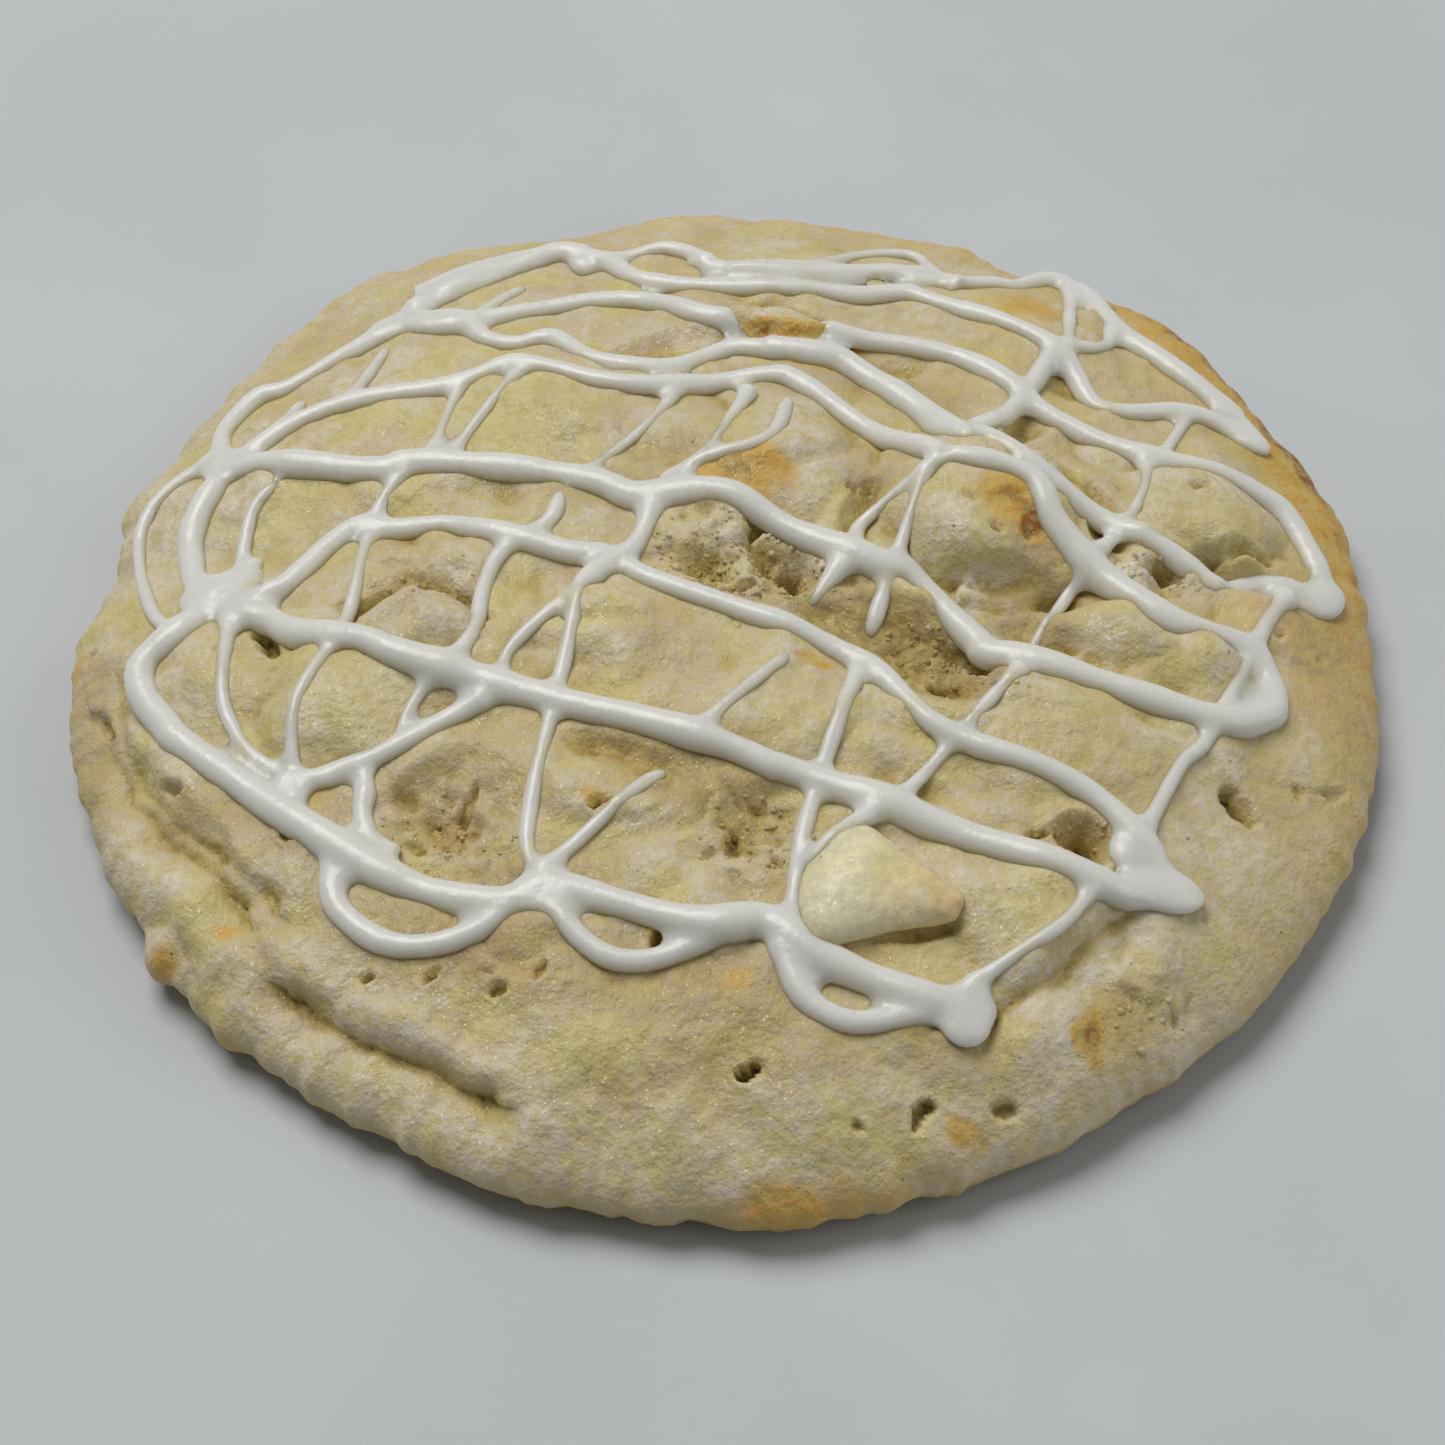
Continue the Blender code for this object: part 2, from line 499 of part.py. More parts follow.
def main():
    for obj in list(bpy.data.objects):
        bpy.data.objects.remove(obj, do_unlink=True)
    scene = bpy.context.scene.collection

    points, faces = dough_mesh(DOUGH_RINGS)
    mesh = bpy.data.meshes.new("cookie")
    mesh.from_pydata([Vector(p) * MM for p in points], [], faces)
    finish_mesh(mesh)
    cookie = bpy.data.objects.new("cookie", mesh)
    scene.objects.link(cookie)
    dough = surface_of(cookie)

    # The drizzle lies over the chip too, so it is laid on dough and socket together.
    socket = chip("socket", dough, CHIP_GAP, scene)
    covered = surface_of(cookie, socket)
    drizzle = bpy.data.collections.new("drizzle")
    scene.children.link(drizzle)
    for number, (width, path) in enumerate(STRANDS):
        strand(f"strand_{number}", covered, path, width, 2, 2.0, number * 3.7, drizzle)
    for number, (width, path) in enumerate(THREADS):
        strand(f"thread_{number}", covered, path, width, 1, 1.8, 50 + number * 3.7, drizzle)
    for number, values in enumerate(POOLS):
        pool(f"pool_{number}", covered, *values, drizzle)
    boolean(cookie, "UNION", collection=drizzle)
    for obj in list(drizzle.objects):
        bpy.data.objects.remove(obj, do_unlink=True)
    bpy.data.collections.remove(drizzle)
    keep_main_body(cookie)
    thin_out(cookie, COOKIE_TRIANGLES)

    boolean(cookie, "DIFFERENCE", other=socket)
    bpy.data.objects.remove(socket, do_unlink=True)
    keep_main_body(cookie)
    white_chip = chip("white_chip", dough, 0.0, scene)

    cookie.data.materials.clear()
    cookie.data.materials.append(material("pale baked dough", (0.62, 0.53, 0.33), 0.6))
    white_chip.data.materials.append(material("white chip", (0.78, 0.75, 0.56), 0.4))
    for obj in (cookie, white_chip):
        obj.data.transform(Matrix.Translation(Vector(CENTRE_SHIFT) * MM))
        obj.data.shade_smooth()


main()
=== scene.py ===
"""Looks of a key lime pie cookie: pale crumbly dough, a crossing white icing drizzle and one white chip.

Lengths are in millimetres until a finished mesh is brought to metres. Places were
read on the plain dome and are moved along the line of sight onto the lumpy dough.
"""

import math

import bpy
import numpy as np
from mathutils import Matrix, Vector, noise
from mathutils.bvhtree import BVHTree
from mathutils.kdtree import KDTree


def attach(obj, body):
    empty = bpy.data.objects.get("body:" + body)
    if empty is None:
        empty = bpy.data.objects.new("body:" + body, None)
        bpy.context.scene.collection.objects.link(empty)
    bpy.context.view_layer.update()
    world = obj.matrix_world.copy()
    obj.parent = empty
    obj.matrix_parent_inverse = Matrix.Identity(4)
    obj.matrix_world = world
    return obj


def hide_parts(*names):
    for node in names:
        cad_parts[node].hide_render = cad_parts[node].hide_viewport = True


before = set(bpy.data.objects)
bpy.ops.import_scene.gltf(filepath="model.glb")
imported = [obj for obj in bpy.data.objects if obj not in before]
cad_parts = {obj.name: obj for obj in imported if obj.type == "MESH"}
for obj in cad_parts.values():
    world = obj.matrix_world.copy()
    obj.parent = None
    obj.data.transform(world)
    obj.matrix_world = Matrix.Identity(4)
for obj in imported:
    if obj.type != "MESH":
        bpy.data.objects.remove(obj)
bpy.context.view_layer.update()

MM = 0.001

RADIUS = 46.0
TOP_HEIGHT = 13.2
WIDEST_HEIGHT = 2.8
DOME_FLATNESS = 2.4
DOME_FALL = 0.62
FOOT_UNDERCUT = 3.2

# The hollows are this much deeper than listed, and the rim on the right is this much smoother.
HOLLOWS_DEEPER = 1.25
RIGHT_SMOOTHER = 0.65

# Moves the finished pieces so that the origin is under the middle of their box.
CENTRE_SHIFT = (0.34, -0.83, 0.0)

# Where the photo was taken from, how far down it looks in degrees, and the lens. Strand
# points were read on the plain dome along this eye's sight lines.
EYE = Vector((-0.3, -177.0, 201.2))
LOOKS_DOWN = 49
LENS = 93

# Lights: place in metres, size in metres, watts, colour. Then the even light of the room.
WINDOW = ((-0.40, 0.47, 1.14), 0.9, 13.2, (1.0, 0.985, 0.95))
FILL = ((1.12, -0.08, 0.66), 1.1, 3.6, (1.0, 0.985, 0.955))
ROOM_COLOUR = (0.98, 0.98, 0.97, 1)
ROOM_STRENGTH = 0.18

# A height well over the cookie, from which rays are sent down.
ABOVE_ALL = 60

# Swells and dents of the outline: direction in degrees, half width in degrees, outward.
SWELLS = [
    (2, 14, -0.3), (20, 10, 0.7), (46, 10, 1.5), (60, 5, -0.7), (80, 75, 2), (106, 6, -0.7), (127, 12, 1.9),
    (145, 6, -0.1), (160, 4, 0.6), (169, 5, -1.2), (180, 4, 0.7), (207, 8, -0.3), (213.5, 2, 0.5),
    (238, 16, -0.9), (250, 5, 0.4), (258, 6, 0.4), (276, 5, 0.7), (308, 12, -0.7), (335, 20, -0.4),
]

# Lumps: x, y, half length, half width, turn in degrees, height, and steepness of the flanks where it
# isn't 1 (lower is steeper).
LUMPS = [
    (17.5, 7.5, 7, 8, 15, 3.2, 0.8), (2, 11, 9, 6.5, -20, 1.6, 1.2), (3.8, 27.6, 4.6, 2.4, -8, 2.4, 0.8),
    (21, -12.5, 8, 5.5, -12, 1.4), (27, -3.4, 4, 3.6, 0, 1.3, 0.8), (33, -5.8, 3.6, 3.4, 0, 1, 0.8),
    (34.5, 9.5, 5.6, 4.8, -10, 1.8, 0.7), (38, 0, 5, 3.4, -25, 0.9), (-20.8, -3.6, 4.6, 3.2, -10, 1.4, 0.8),
    (-36.8, -5.5, 4.6, 5.6, 20, 0.9), (-26, -9.5, 6, 5.5, 0, 0.9, 1.1), (20, -26.5, 6, 5.6, 40, 1.2, 0.8),
    (24, -34.5, 8, 5, 35, 0.9), (-14, 17, 8.5, 8.5, 0, 1, 1.2), (-9, -3, 6, 4.5, -20, 0.9),
    (-8.5, -18.2, 4, 3.2, 0, 0.9, 0.9), (2, -12.5, 5, 4, 0, 0.6), (-1.5, 4.6, 4, 2.6, -15, 0.8, 0.7),
    (-31, 12, 7, 6, 0, 0.5, 1.3), (24, 27, 6, 5, -30, 0.7, 1.2),
]

# Hollows: the same values, with a depth.
HOLLOWS = [
    (14.5, -5.5, 6.5, 3.8, -35, 1.6), (3.8, 0.8, 3.4, 2.2, -30, 1.6, 0.9), (-18, -20.5, 6, 5.5, 20, 1.1),
    (1, -21.5, 4, 3.6, 0, 0.9), (23, -21.4, 2, 1.7, 0, 2, 0.8), (35.5, 4.4, 4.4, 1.5, -4, 2, 0.8),
    (29.5, 2.6, 1.8, 1.3, -20, 1.4, 0.8), (-22, 7, 6, 3, 0, 0.4, 1.2), (25, 22, 3, 4, 0, 0.9),
    (22, 17, 2, 2.2, 0, 1),
]

# Folds and cracks in the dough: path, depth, half width.
CREASES = [
    ([(-44.5, -6), (-43, -10), (-40.8, -14.2), (-37.8, -18), (-34.8, -21.2), (-32.3, -24.2)], 0.9, 0.9),
    ([(-32.3, -24.2), (-30.5, -28), (-28.3, -31)], 0.35, 0.9),
    ([(-28.3, -31), (-25.6, -33.4), (-22.6, -35.3), (-19.2, -36.8), (-15.5, -39.3)], 1.2, 0.85),
    ([(-40, -12), (-37, -16), (-33.5, -19.3)], 0.45, 0.8),
    ([(16.5, -34.2), (20.5, -31.6), (25, -27.2)], 0.6, 0.7),
    ([(-25.2, -2.4), (-21.5, 0.2), (-18.2, -1.2), (-16.8, -3.6)], 0.7, 0.7),
    ([(12.6, 1), (15.5, -1.8), (19.5, -2), (24.5, 0.5)], 0.8, 0.8),
]

# Main strands of the drizzle: width, then points across the plain dome.
STRANDS = [
    (2.3, [(-36.3, 15.8), (-25, 12.7), (-22.3, 13.1), (-10, 9.8), (-7, 8.3), (-5, 8), (0, 8.7), (5.1, 4.3),
        (10.5, 2), (12.8, 0.4), (17.4, -5.4), (18.8, -6.5), (32.2, -9.7), (36.7, -8.9), (37.6, -7.3),
        (37.2, -4.8), (36, -2.8), (30.6, -1.6), (23.6, 6.1), (22.3, 10.5), (20.7, 12.2), (15.6, 13.3)]),
    (1.7, [(15.6, 13.3), (14, 13.9), (5.7, 20.3), (2.6, 21.4), (-7, 20.6), (-14, 23.4), (-16.2, 23.5),
        (-19.6, 21.8), (-29.6, 20.9), (-34, 18), (-36.3, 15.8)]),
    (2.3, [(-36, 0.6), (-37, 2.8), (-37.9, 5.6), (-38.2, 10.1), (-36.3, 16.1)]),
    (1.9, [(-35.5, 0.2), (-32.9, 1.1), (-30.8, 2.2), (-28, 5.3), (-25.8, 6.8), (-23.5, 6), (-19.7, 6.2),
        (-16.5, 5.4), (-11.1, 2.9), (-8.2, 2.4), (-5.4, 0.2), (0, -2.3), (9.1, -7.7), (14, -13.2),
        (22.3, -16.8), (25.2, -18.9), (28, -22.1), (29, -24)]),
    (2.4, [(-35.5, 0.6), (-32, -1), (-29.6, -2.9), (-25.1, -3.7), (-22.3, -5.8), (-15.6, -9.4), (0, -15),
        (2.9, -17), (5.4, -18), (23.6, -24.3), (28.7, -25.1)]),
    (2.4, [(-36, 1), (-38.6, -0.6), (-40.8, -2.7), (-40.4, -5.3), (-38.5, -8.7), (-36.3, -11.6),
        (-24.5, -21.9), (-15.2, -26.6), (-11.7, -25.9), (-2.2, -28.7), (1.9, -28.7), (3.8, -29.5),
        (5.7, -31.1), (12.1, -33.6), (15.3, -34.2)]),
    (1.9, [(-25, 31.4), (-19.9, 30.1), (-18, 27.6), (-15.6, 26.4), (-13, 26.5), (-10.1, 24.2), (-7, 22.7),
        (-3.8, 22.4), (0, 24.2), (2.9, 24.8), (6.4, 24.2), (8.9, 22.6), (14.3, 17.5), (22.3, 12.5),
        (32.2, 4.2), (34.4, 3.2), (36.7, 3.3), (39.2, 4.5), (42, 4.4)]),
    (1.9, [(-24.9, 31.3), (-19.9, 29.7), (-7.9, 31.4), (-2.2, 29.5), (0, 28.2), (7.7, 27.9), (16.6, 24.8),
        (21.6, 21), (23.8, 18.6), (29.9, 15.5), (38.3, 13.8), (40.8, 11.9), (43, 5.6)]),
    (1.7, [(-11.8, 41), (-8.9, 37.6), (-6.3, 34.7), (0, 33), (8, 32.7), (12.8, 33.1), (15.3, 32.6),
        (24.5, 27.9), (27.6, 20.8), (33.2, 22.2), (36.2, 22.1), (38.9, 21.5)]),
    (1.5, [(-2, 36), (3.2, 37), (8, 36.4), (12.8, 36.5), (15.3, 35.9), (20.5, 37.4), (22.3, 38.6),
        (24.9, 38.8), (27.1, 37.4), (30.2, 33.7), (36, 28.2), (38.3, 25.1), (39.5, 22.9), (39.2, 20.3)]),
    (1.9, [(-24.9, 31.3), (-22.9, 35.6), (-19, 38.6), (-13, 40.6)]),
    (1.7, [(-36.5, 16.5), (-37.3, 20.1), (-36.7, 22.7), (-34.8, 25.1), (-32.1, 25.9), (-25, 31.4)]),
]

# Thin strands and the loops that sag below the front strand.
THREADS = [
    (1.1, [(-37.5, 17.5), (-40.4, 16.7), (-42.1, 14.6), (-42.5, 11.1), (-41.9, 6.8), (-40.4, 2.1),
        (-38.6, -0.3)]),
    (1, [(-32.5, 13.2), (-34, 9.9), (-34.4, 3.6)]),
    (1.1, [(-34.6, -0.6), (-34.7, -6.6), (-33.7, -10.4), (-32.1, -13), (-29.6, -15)]),
    (0.9, [(-25.3, 28.2), (-27.7, 21.6)]),
    (0.9, [(-31.2, 22.7), (-32.8, 19.6)]),
    (1, [(-22.9, 12.5), (-24.8, 7.1), (-26.4, -2.4), (-29.3, -8.2), (-29.6, -12.3), (-29.3, -15.2)]),
    (0.9, [(-19.4, 22), (-21, 13.8)]),
    (0.9, [(-15.2, 22.6), (-19.7, 13.4)]),
    (1.1, [(-11.7, 9), (-12.4, 6.1), (-14.9, 4.1), (-16.5, 1.5), (-17.5, -4.2), (-19.2, -7)]),
    (0.9, [(-3.4, 20.2), (-5.4, 16.5), (-9.9, 10.6)]),
    (1.4, [(-5.2, 7), (-6.3, 3.6), (-8.4, 1.4), (-10.5, -0.5)]),
    (1, [(-10.2, 0), (-10.5, -0.5), (-14, -4.8), (-15.2, -7), (-15.2, -8.8)]),
    (1.1, [(-10.2, 0), (-10.5, -3.1), (-13.3, -20.8), (-12.5, -25.6)]),
    (1.1, [(-12.5, -24.6), (-9, -21.6), (-4.1, -17.3)]),
    (1.3, [(-30.2, -15.6), (-25.1, -14.5), (-21.9, -13.3), (-16.4, -10.2)]),
    (0.8, [(-19.9, -7.6), (-21.6, -10.6), (-22.4, -13.4)]),
    (1.3, [(-24.5, -14.6), (-24.8, -18.1), (-24.2, -20), (-22.8, -22)]),
    (1, [(-2, -14), (4.2, -7)]),
    (1.1, [(8.9, -8.6), (5.4, -20.5), (4, -29)]),
    (1.1, [(5.2, -24.6), (10, -20.2)]),
    (1, [(20.2, -7.4), (11, -19.6)]),
    (0.9, [(25.2, 2.6), (20.8, -6)]),
    (1, [(15.3, 12.9), (9.6, 5.5), (9, 3.4)]),
    (1.1, [(14.2, 11.4), (9.7, -5.2)]),
    (1, [(7.9, 1.6), (5.7, -2.4)]),
    (0.9, [(1.6, 19.6), (-0.9, 14.3), (-4.3, 9.6)]),
    (1.1, [(4.5, 18.6), (3.5, 15.2), (1.6, 13.7), (-2.2, 11.8), (-3.3, 9.2)]),
    (1.5, [(24.5, 27.8), (20.6, 18.6), (17.4, 15.8)]),
    (1, [(26.5, 37.2), (25.7, 29.6)]),
    (1, [(29.6, 33.9), (28.6, 30.1), (26.6, 28.2)]),
    (0.9, [(34.4, 22.6), (31.6, 16)]),
    (0.9, [(30.4, 14.6), (29.6, 10.7), (26.3, 4.6)]),
    (1.1, [(39.5, 3.3), (38, 0.9), (32.8, -11.3), (30.6, -14.4), (27.4, -21)]),
    (1, [(24, -25), (21.7, -28.1), (15.5, -32.9)]),
    (0.9, [(-15.2, 34.8), (-20, 30)]),
    (1.7, [(-26.5, -21), (-26.4, -24.3), (-24.8, -26.6), (-22.3, -28.5), (-19.4, -29), (-16.5, -28.3),
        (-14.6, -26.8)]),
    (1.6, [(-11.9, -27), (-9.8, -29.9), (-7.6, -31.1), (-5, -31.3), (-0.2, -29.2)]),
    (1.7, [(3.3, -30.2), (4.8, -33.8), (7, -35.3), (9.6, -35.5), (13, -34.6)]),
]

# Pools where strands meet or end: x, y, half length, half width, turn in degrees.
POOLS = [
    (-35.2, 2.4, 3.4, 2.2, 15), (28.6, -24.6, 3, 1.9, -10), (15.4, -34.3, 2.1, 1.9, 0),
    (42.2, 4.4, 2.3, 1.8, 40), (36.9, -7.6, 1.8, 1.6, 0), (38.6, 21.6, 2.2, 1.3, -35),
    (-25.2, 31, 2.4, 1.5, 20), (-36.6, 16.4, 2, 1.5, 60), (-12.4, -26.6, 2, 1.3, 0),
]

CHIP_CENTRE = (9.5, -25.3)
CHIP_REACH_TO_TIP = 6.2
CHIP_REACH_BACK = 4.6
CHIP_HALF_WIDTH = 4.5
CHIP_HALF_HEIGHT = 2.8
CHIP_LIFT = 0.1
CHIP_TURN = -17

# How finely the dough is modelled: rings over the dome, rows round the rim and its foot.
DOUGH_RINGS = 156
COARSE_RINGS = 60
FOOT_ROWS = 12

# The icing: how much wider than drawn, how far it flows together, and how finely it is modelled.
STRANDS_WIDER = 0.97
THREADS_WIDER = 1.12
FLOW = 0.38
ICING_VOXEL = 0.19
ICING_TRIANGLES = 150000
STRAND_STEP = 0.5

# A strand that ends this near a main strand flares into it. Below the icing, and this far beside it,
# the crumb is calmer.
JOINS_WITHIN = 1.7
CALM_BESIDE = 0.7

# Thin webs of icing between strands: the same values as the pools.
WEBS = [
    (-27.4, -15.4, 2.6, 0.8, 5), (-24.6, -17, 0.8, 1.4, 0), (-25.3, -20.9, 1.6, 0.8, -30),
    (-29.3, -16.6, 0.9, 1.2, -40), (-33.6, 3.9, 1.6, 0.8, 60), (-31.6, 1.7, 2, 0.8, 25),
    (-26, -22.6, 1.4, 1.2, 0), (26.3, -22.2, 1.2, 1.6, 0), (37.2, 26.4, 1.9, 1.2, -48),
    (15.2, -34.9, 1.9, 2.2, 0), (4, 35.4, 4, 0.5, 0), (12, 36.2, 3, 0.5, 0), (-21, 36.4, 2.4, 0.9, 30),
    (-11, 37.6, 1.4, 1, -50),
]

# Icing strands and threads that only the fine surface has: width, path.
FINE_THREADS = [
    (1.9, [(-15, 40), (-13, 41.2), (-10.8, 39.8)]),
    (1.5, [(-24, 37.8), (-20.4, 39.8), (-16.5, 41), (-13.2, 41.2)]),
    (1.4, [(-23.8, 33.2), (-20, 36), (-15.5, 39.4)]),
    (1.4, [(-3, 37.4), (0.7, 35.9), (7.1, 35.9), (14.2, 37), (17.8, 35.4)]),
    (0.8, [(5.4, 36.4), (7.4, 38.2), (11.3, 40.4), (14.5, 40.6), (16, 37.4)]),
    (1.2, [(-9.6, 38), (-7.3, 39.1), (-4.8, 40.2), (-2.6, 38.6), (-1.4, 37.2)]),
    (1.9, [(27.1, 37.4), (30.2, 33.7), (36, 28.2), (38.3, 25.1)]),
    (2.1, [(3, 24.8), (6.4, 24.2), (8.9, 22.6), (14.3, 17.5), (17.5, 15.4)]),
    (1, [(26, 30.8), (25, 27.9)]),
    (1, [(27.9, 29.5), (25, 27.8)]),
]

# The browned crust that one strand passes below: centre and half sizes, and how far the strand dips.
CRUST = (4.2, 27.6, 4.2, 2.3)
CRUST_DIP = 2.2

# Small folds that only the fine surface has: path, depth, half width.
FINE_CREASES = [
    ([(-42.6, -4.5), (-42, -9.5), (-39.8, -13.6), (-37.3, -17), (-33.6, -20.8), (-30, -24.6)], 0.8, 0.55),
    ([(-44.6, -13), (-42.4, -18), (-39.6, -22), (-35.6, -26.8)], 0.65, 0.5),
]

# Dips that only the fine surface has: the same values as the hollows.
DIPS = [
    (21, -0.6, 6, 1.8, -8, 0.8), (26.8, 6.5, 1.5, 4.5, 10, 1, 0.9), (9.3, 6, 1.6, 4, -25, 0.9),
    (12.4, -29, 3.4, 0.6, 12, 0.5, 0.9), (12, -7.4, 8.5, 2.6, -33, 0.9),
    (21.2, -4.4, 3, 1.6, -10, 1.3, 0.9), (4.3, -0.2, 0.8, 2.6, 20, 1.3, 0.8),
    (2, 4.6, 1.2, 0.9, 0, 1.2, 0.8), (-1.2, 0.9, 2.2, 1.2, -20, 0.8, 0.9),
    (15.4, -8.2, 2.2, 0.8, -20, 0.9, 0.8), (-22.5, -1.2, 5.5, 1, -5, 0.7, 0.9),
    (12.5, -18, 5, 1.4, -30, 0.5), (-7.5, -15.2, 4.5, 1.2, -25, 0.7, 0.9), (31, 4, 5, 1.2, -10, 0.7, 0.9),
    (3.9, 28.4, 4.8, 2.2, -7, 1.3, 0.8), (-4, 24.5, 7, 1.6, 5, 0.7), (11, 24, 4, 2.2, -25, 0.7),
    (29.8, 29.5, 2.4, 4, 0, 0.6),
]

# Pits and torn holes: x, y, half length, half width, turn in degrees, depth.
PITS = [
    (-32.2, -3.4, 1.3, 0.55, -50, 1.6), (34.6, -16.6, 1.5, 0.7, -65, 1.9),
    (41.7, -13.3, 0.9, 0.35, 25, 0.8), (38.9, -14.4, 0.45, 0.5, 0, 0.7), (40.3, -13.8, 0.8, 0.2, 15, 0.45),
    (1.2, -38.4, 0.75, 0.5, 20, 1.7), (12.1, -40.7, 0.9, 0.42, 35, 1.3), (17.8, -39.5, 0.7, 0.4, 0, 1.1),
    (1.9, 4.2, 0.55, 0.45, 0, 1.4), (0.8, -0.6, 1.3, 0.5, 15, 1), (4.3, 0.3, 0.4, 1.3, 15, 1.2),
    (-4.5, -29.4, 0.9, 0.5, 60, 1), (-43.6, -7.2, 0.4, 1.4, 20, 0.9), (29.1, -32.4, 0.3, 0.8, 20, 0.7),
    (30, -31.4, 0.25, 0.6, 10, 0.6), (-37.6, -14.7, 0.7, 0.25, -30, 0.7), (-8.4, -19.6, 0.7, 0.3, 15, 0.9),
    (3.2, -23.6, 0.4, 0.35, 0, 0.6), (0, -22.4, 0.5, 1.2, 0, 0.5), (8.1, -41.5, 0.35, 0.3, 0, 0.6),
    (38.4, -1.6, 0.6, 0.35, 30, 0.6), (41.8, -2.3, 0.35, 0.25, 0, 0.5), (-45, -0.3, 0.5, 0.4, 0, 0.6),
    (33.5, 10.5, 0.8, 0.3, 15, 0.6), (-23.4, -30.8, 0.5, 0.25, 20, 0.8), (-19.4, -31.2, 0.6, 0.25, 30, 0.8),
    (-14.9, -32.6, 0.45, 0.3, 0, 0.8), (-15.6, -31.4, 0.5, 0.2, -40, 0.5), (23.6, -21.6, 1, 0.9, 0, 0.9),
    (20.4, -21, 0.9, 0.35, 20, 0.7), (36.3, 5.4, 2.9, 0.4, 8, 1.2), (31, 2.8, 1.1, 0.7, -30, 1.1),
    (24.6, 7.3, 0.8, 0.4, 0, 0.7), (16.9, -6.4, 2.1, 0.8, -50, 1), (8.6, 8.5, 0.5, 0.4, 0, 0.5),
    (20.7, 3.4, 0.35, 0.3, 0, 0.5), (18.4, 3.1, 0.7, 0.3, -20, 0.5), (16.8, 5.1, 0.5, 0.3, 10, 0.4),
    (-24.8, -21, 0.8, 0.4, -20, 0.9), (-17.5, -18.5, 1.6, 0.4, 65, 0.7), (-12, -31.6, 0.7, 0.3, 50, 0.5),
    (31.5, -25.5, 0.5, 0.2, 60, 0.4), (-29.5, -20, 0.6, 0.3, -40, 0.5),
]

# Crumbly, broken places: x, y, half length, half width, turn in degrees, roughness, steepness.
CRUMBLY = [
    (1.5, 1, 9, 6, -25, 1, 0.8), (15.5, -7, 7, 4.5, -30, 0.8, 0.8), (-18.5, -21, 7.5, 6, 10, 0.65, 0.8),
    (1.5, -22, 5.5, 4.5, 0, 0.7, 0.8), (23, -21.5, 3.5, 3, 0, 0.8, 0.8), (30, 2.5, 4, 3, 0, 0.8, 0.8),
    (-21, 0, 6, 3, 0, 0.5, 0.8), (27, -32, 3.5, 3, 0, 0.6, 0.8),
]

# Browned spots, two of them painted golden shade, under the chip's lower edge and beside the loops below it:
# x, y, half length, half width, turn in degrees, strength, and softness where it isn't 1.
# The four lists after it have the same values.
TOAST_AND_SHADE_SPOTS = [
    (21.6, 7.2, 1.9, 2.6, 10, 1.8, 2), (20.2, 8.8, 4.2, 3.4, -35, 1, 1.7), (0.9, 11, 5.4, 3.4, -8, 1, 1.6),
    (4.2, 26.9, 4.5, 1.1, -6, 0.95, 0.4), (8.4, 25.8, 2.6, 1.2, -30, 0.75, 0.6),
    (6, 22.4, 4, 0.9, -24, 0.5, 0.8), (23.3, 33.4, 4, 3, 0, 0.7), (23.3, -34.8, 1.5, 2.3, 0, 1.5, 1.8),
    (24.6, -33, 3.2, 2.6, 30, 0.3, 1.2), (14.8, -41.3, 1.8, 1.1, -20, 0.75, 0.9),
    (0.6, -32.5, 1.8, 1.3, 20, 0.6), (6.1, -8, 1.5, 0.8, -25, 0.8), (-32.8, -26.1, 1.3, 1, 0, 0.6),
    (-18, -21.7, 3.4, 2, 0, 0.3), (-4.4, -29.5, 1.2, 0.9, 0, 1, 0.9), (-8.5, -19.5, 1.2, 0.8, 0, 0.7, 0.9),
    (28.2, 35.6, 3, 1.8, -45, 1.4, 0.8), (33.6, 30.6, 3, 1.6, -50, 1.4, 0.8), (38, 0.5, 5, 3.4, -25, 0.35),
    (36, 25, 8, 5, -55, 0.3), (41, -6, 4, 8, 0, 0.3), (22, 31, 7, 4, -20, 0.25),
    # The first two spots on this line are painted golden shade: under the chip's lower edge and beside the
    # loops.
    (12, -29.2, 5, 1.3, 14, 0.4, 0.8), (8, -29.8, 4, 2.2, -20, 0.25, 0.8), (6, -46, 11, 2.2, 5, 0.6),
    (-28, -18.5, 5, 3, -40, 0.25), (13, 12.2, 2.2, 1.3, 0, 0.35), (-37.6, -26.6, 2, 1.6, 0, 0.6),
    (-46.4, 0, 1.6, 2.2, 0, 0.55), (-27, -16.5, 1.3, 0.9, 0, 0.4), (-13, -31.5, 2.4, 1.4, 0, 0.3),
]

# Yellow inclusions just under the surface.
YELLOW = [
    (-15.5, 18.5, 7, 7.5, 0, 0.85), (-8.9, -36.7, 4.6, 2.6, 0, 0.9), (20.4, -26.5, 5.2, 3.6, 40, 0.8),
    (-24.5, -9.5, 5.5, 4.5, 0, 0.5), (23, -12.5, 7.5, 4.5, -10, 0.4), (-16, 6, 5, 2.5, 0, 0.4),
    (-9, -2, 5, 3.5, 0, 0.35), (34, 8.5, 5.5, 4.5, 0, 0.5), (32, -27, 4.5, 3, 0, 0.3),
    (-35, -21.5, 3.5, 2, -40, 0.5), (3, -9, 4, 3, 0, 0.3),
]

# Pinkish-grey places, partly painted shade: several lie in the cavity below the big lump and on the shaded
# sides of the lumps.
BLUSHED_AND_SHADED = [
    (12.5, -7.6, 8.5, 3.8, -32, 1.6), (26, -33.4, 4.2, 3, 30, 1), (28, -16.9, 2.4, 1.6, 0, 0.7),
    (-15.5, -29.5, 7, 4, 10, 1.2), (-19.4, -19.5, 6, 4.5, 0, 1.4), (-5.4, -5.4, 2.4, 1.9, 0, 1.1),
    (9.8, 9.2, 3.4, 2.2, -50, 0.8), (21, 3.4, 3.4, 2, 30, 0.8), (-1, 14.5, 4, 2, -30, 0.5),
    (-6, 2.5, 4, 2.5, 0, 0.4), (-36.5, -10.5, 2.5, 2, 0, 0.5), (-43.2, 7.5, 1.4, 2.6, 0, 0.9),
]
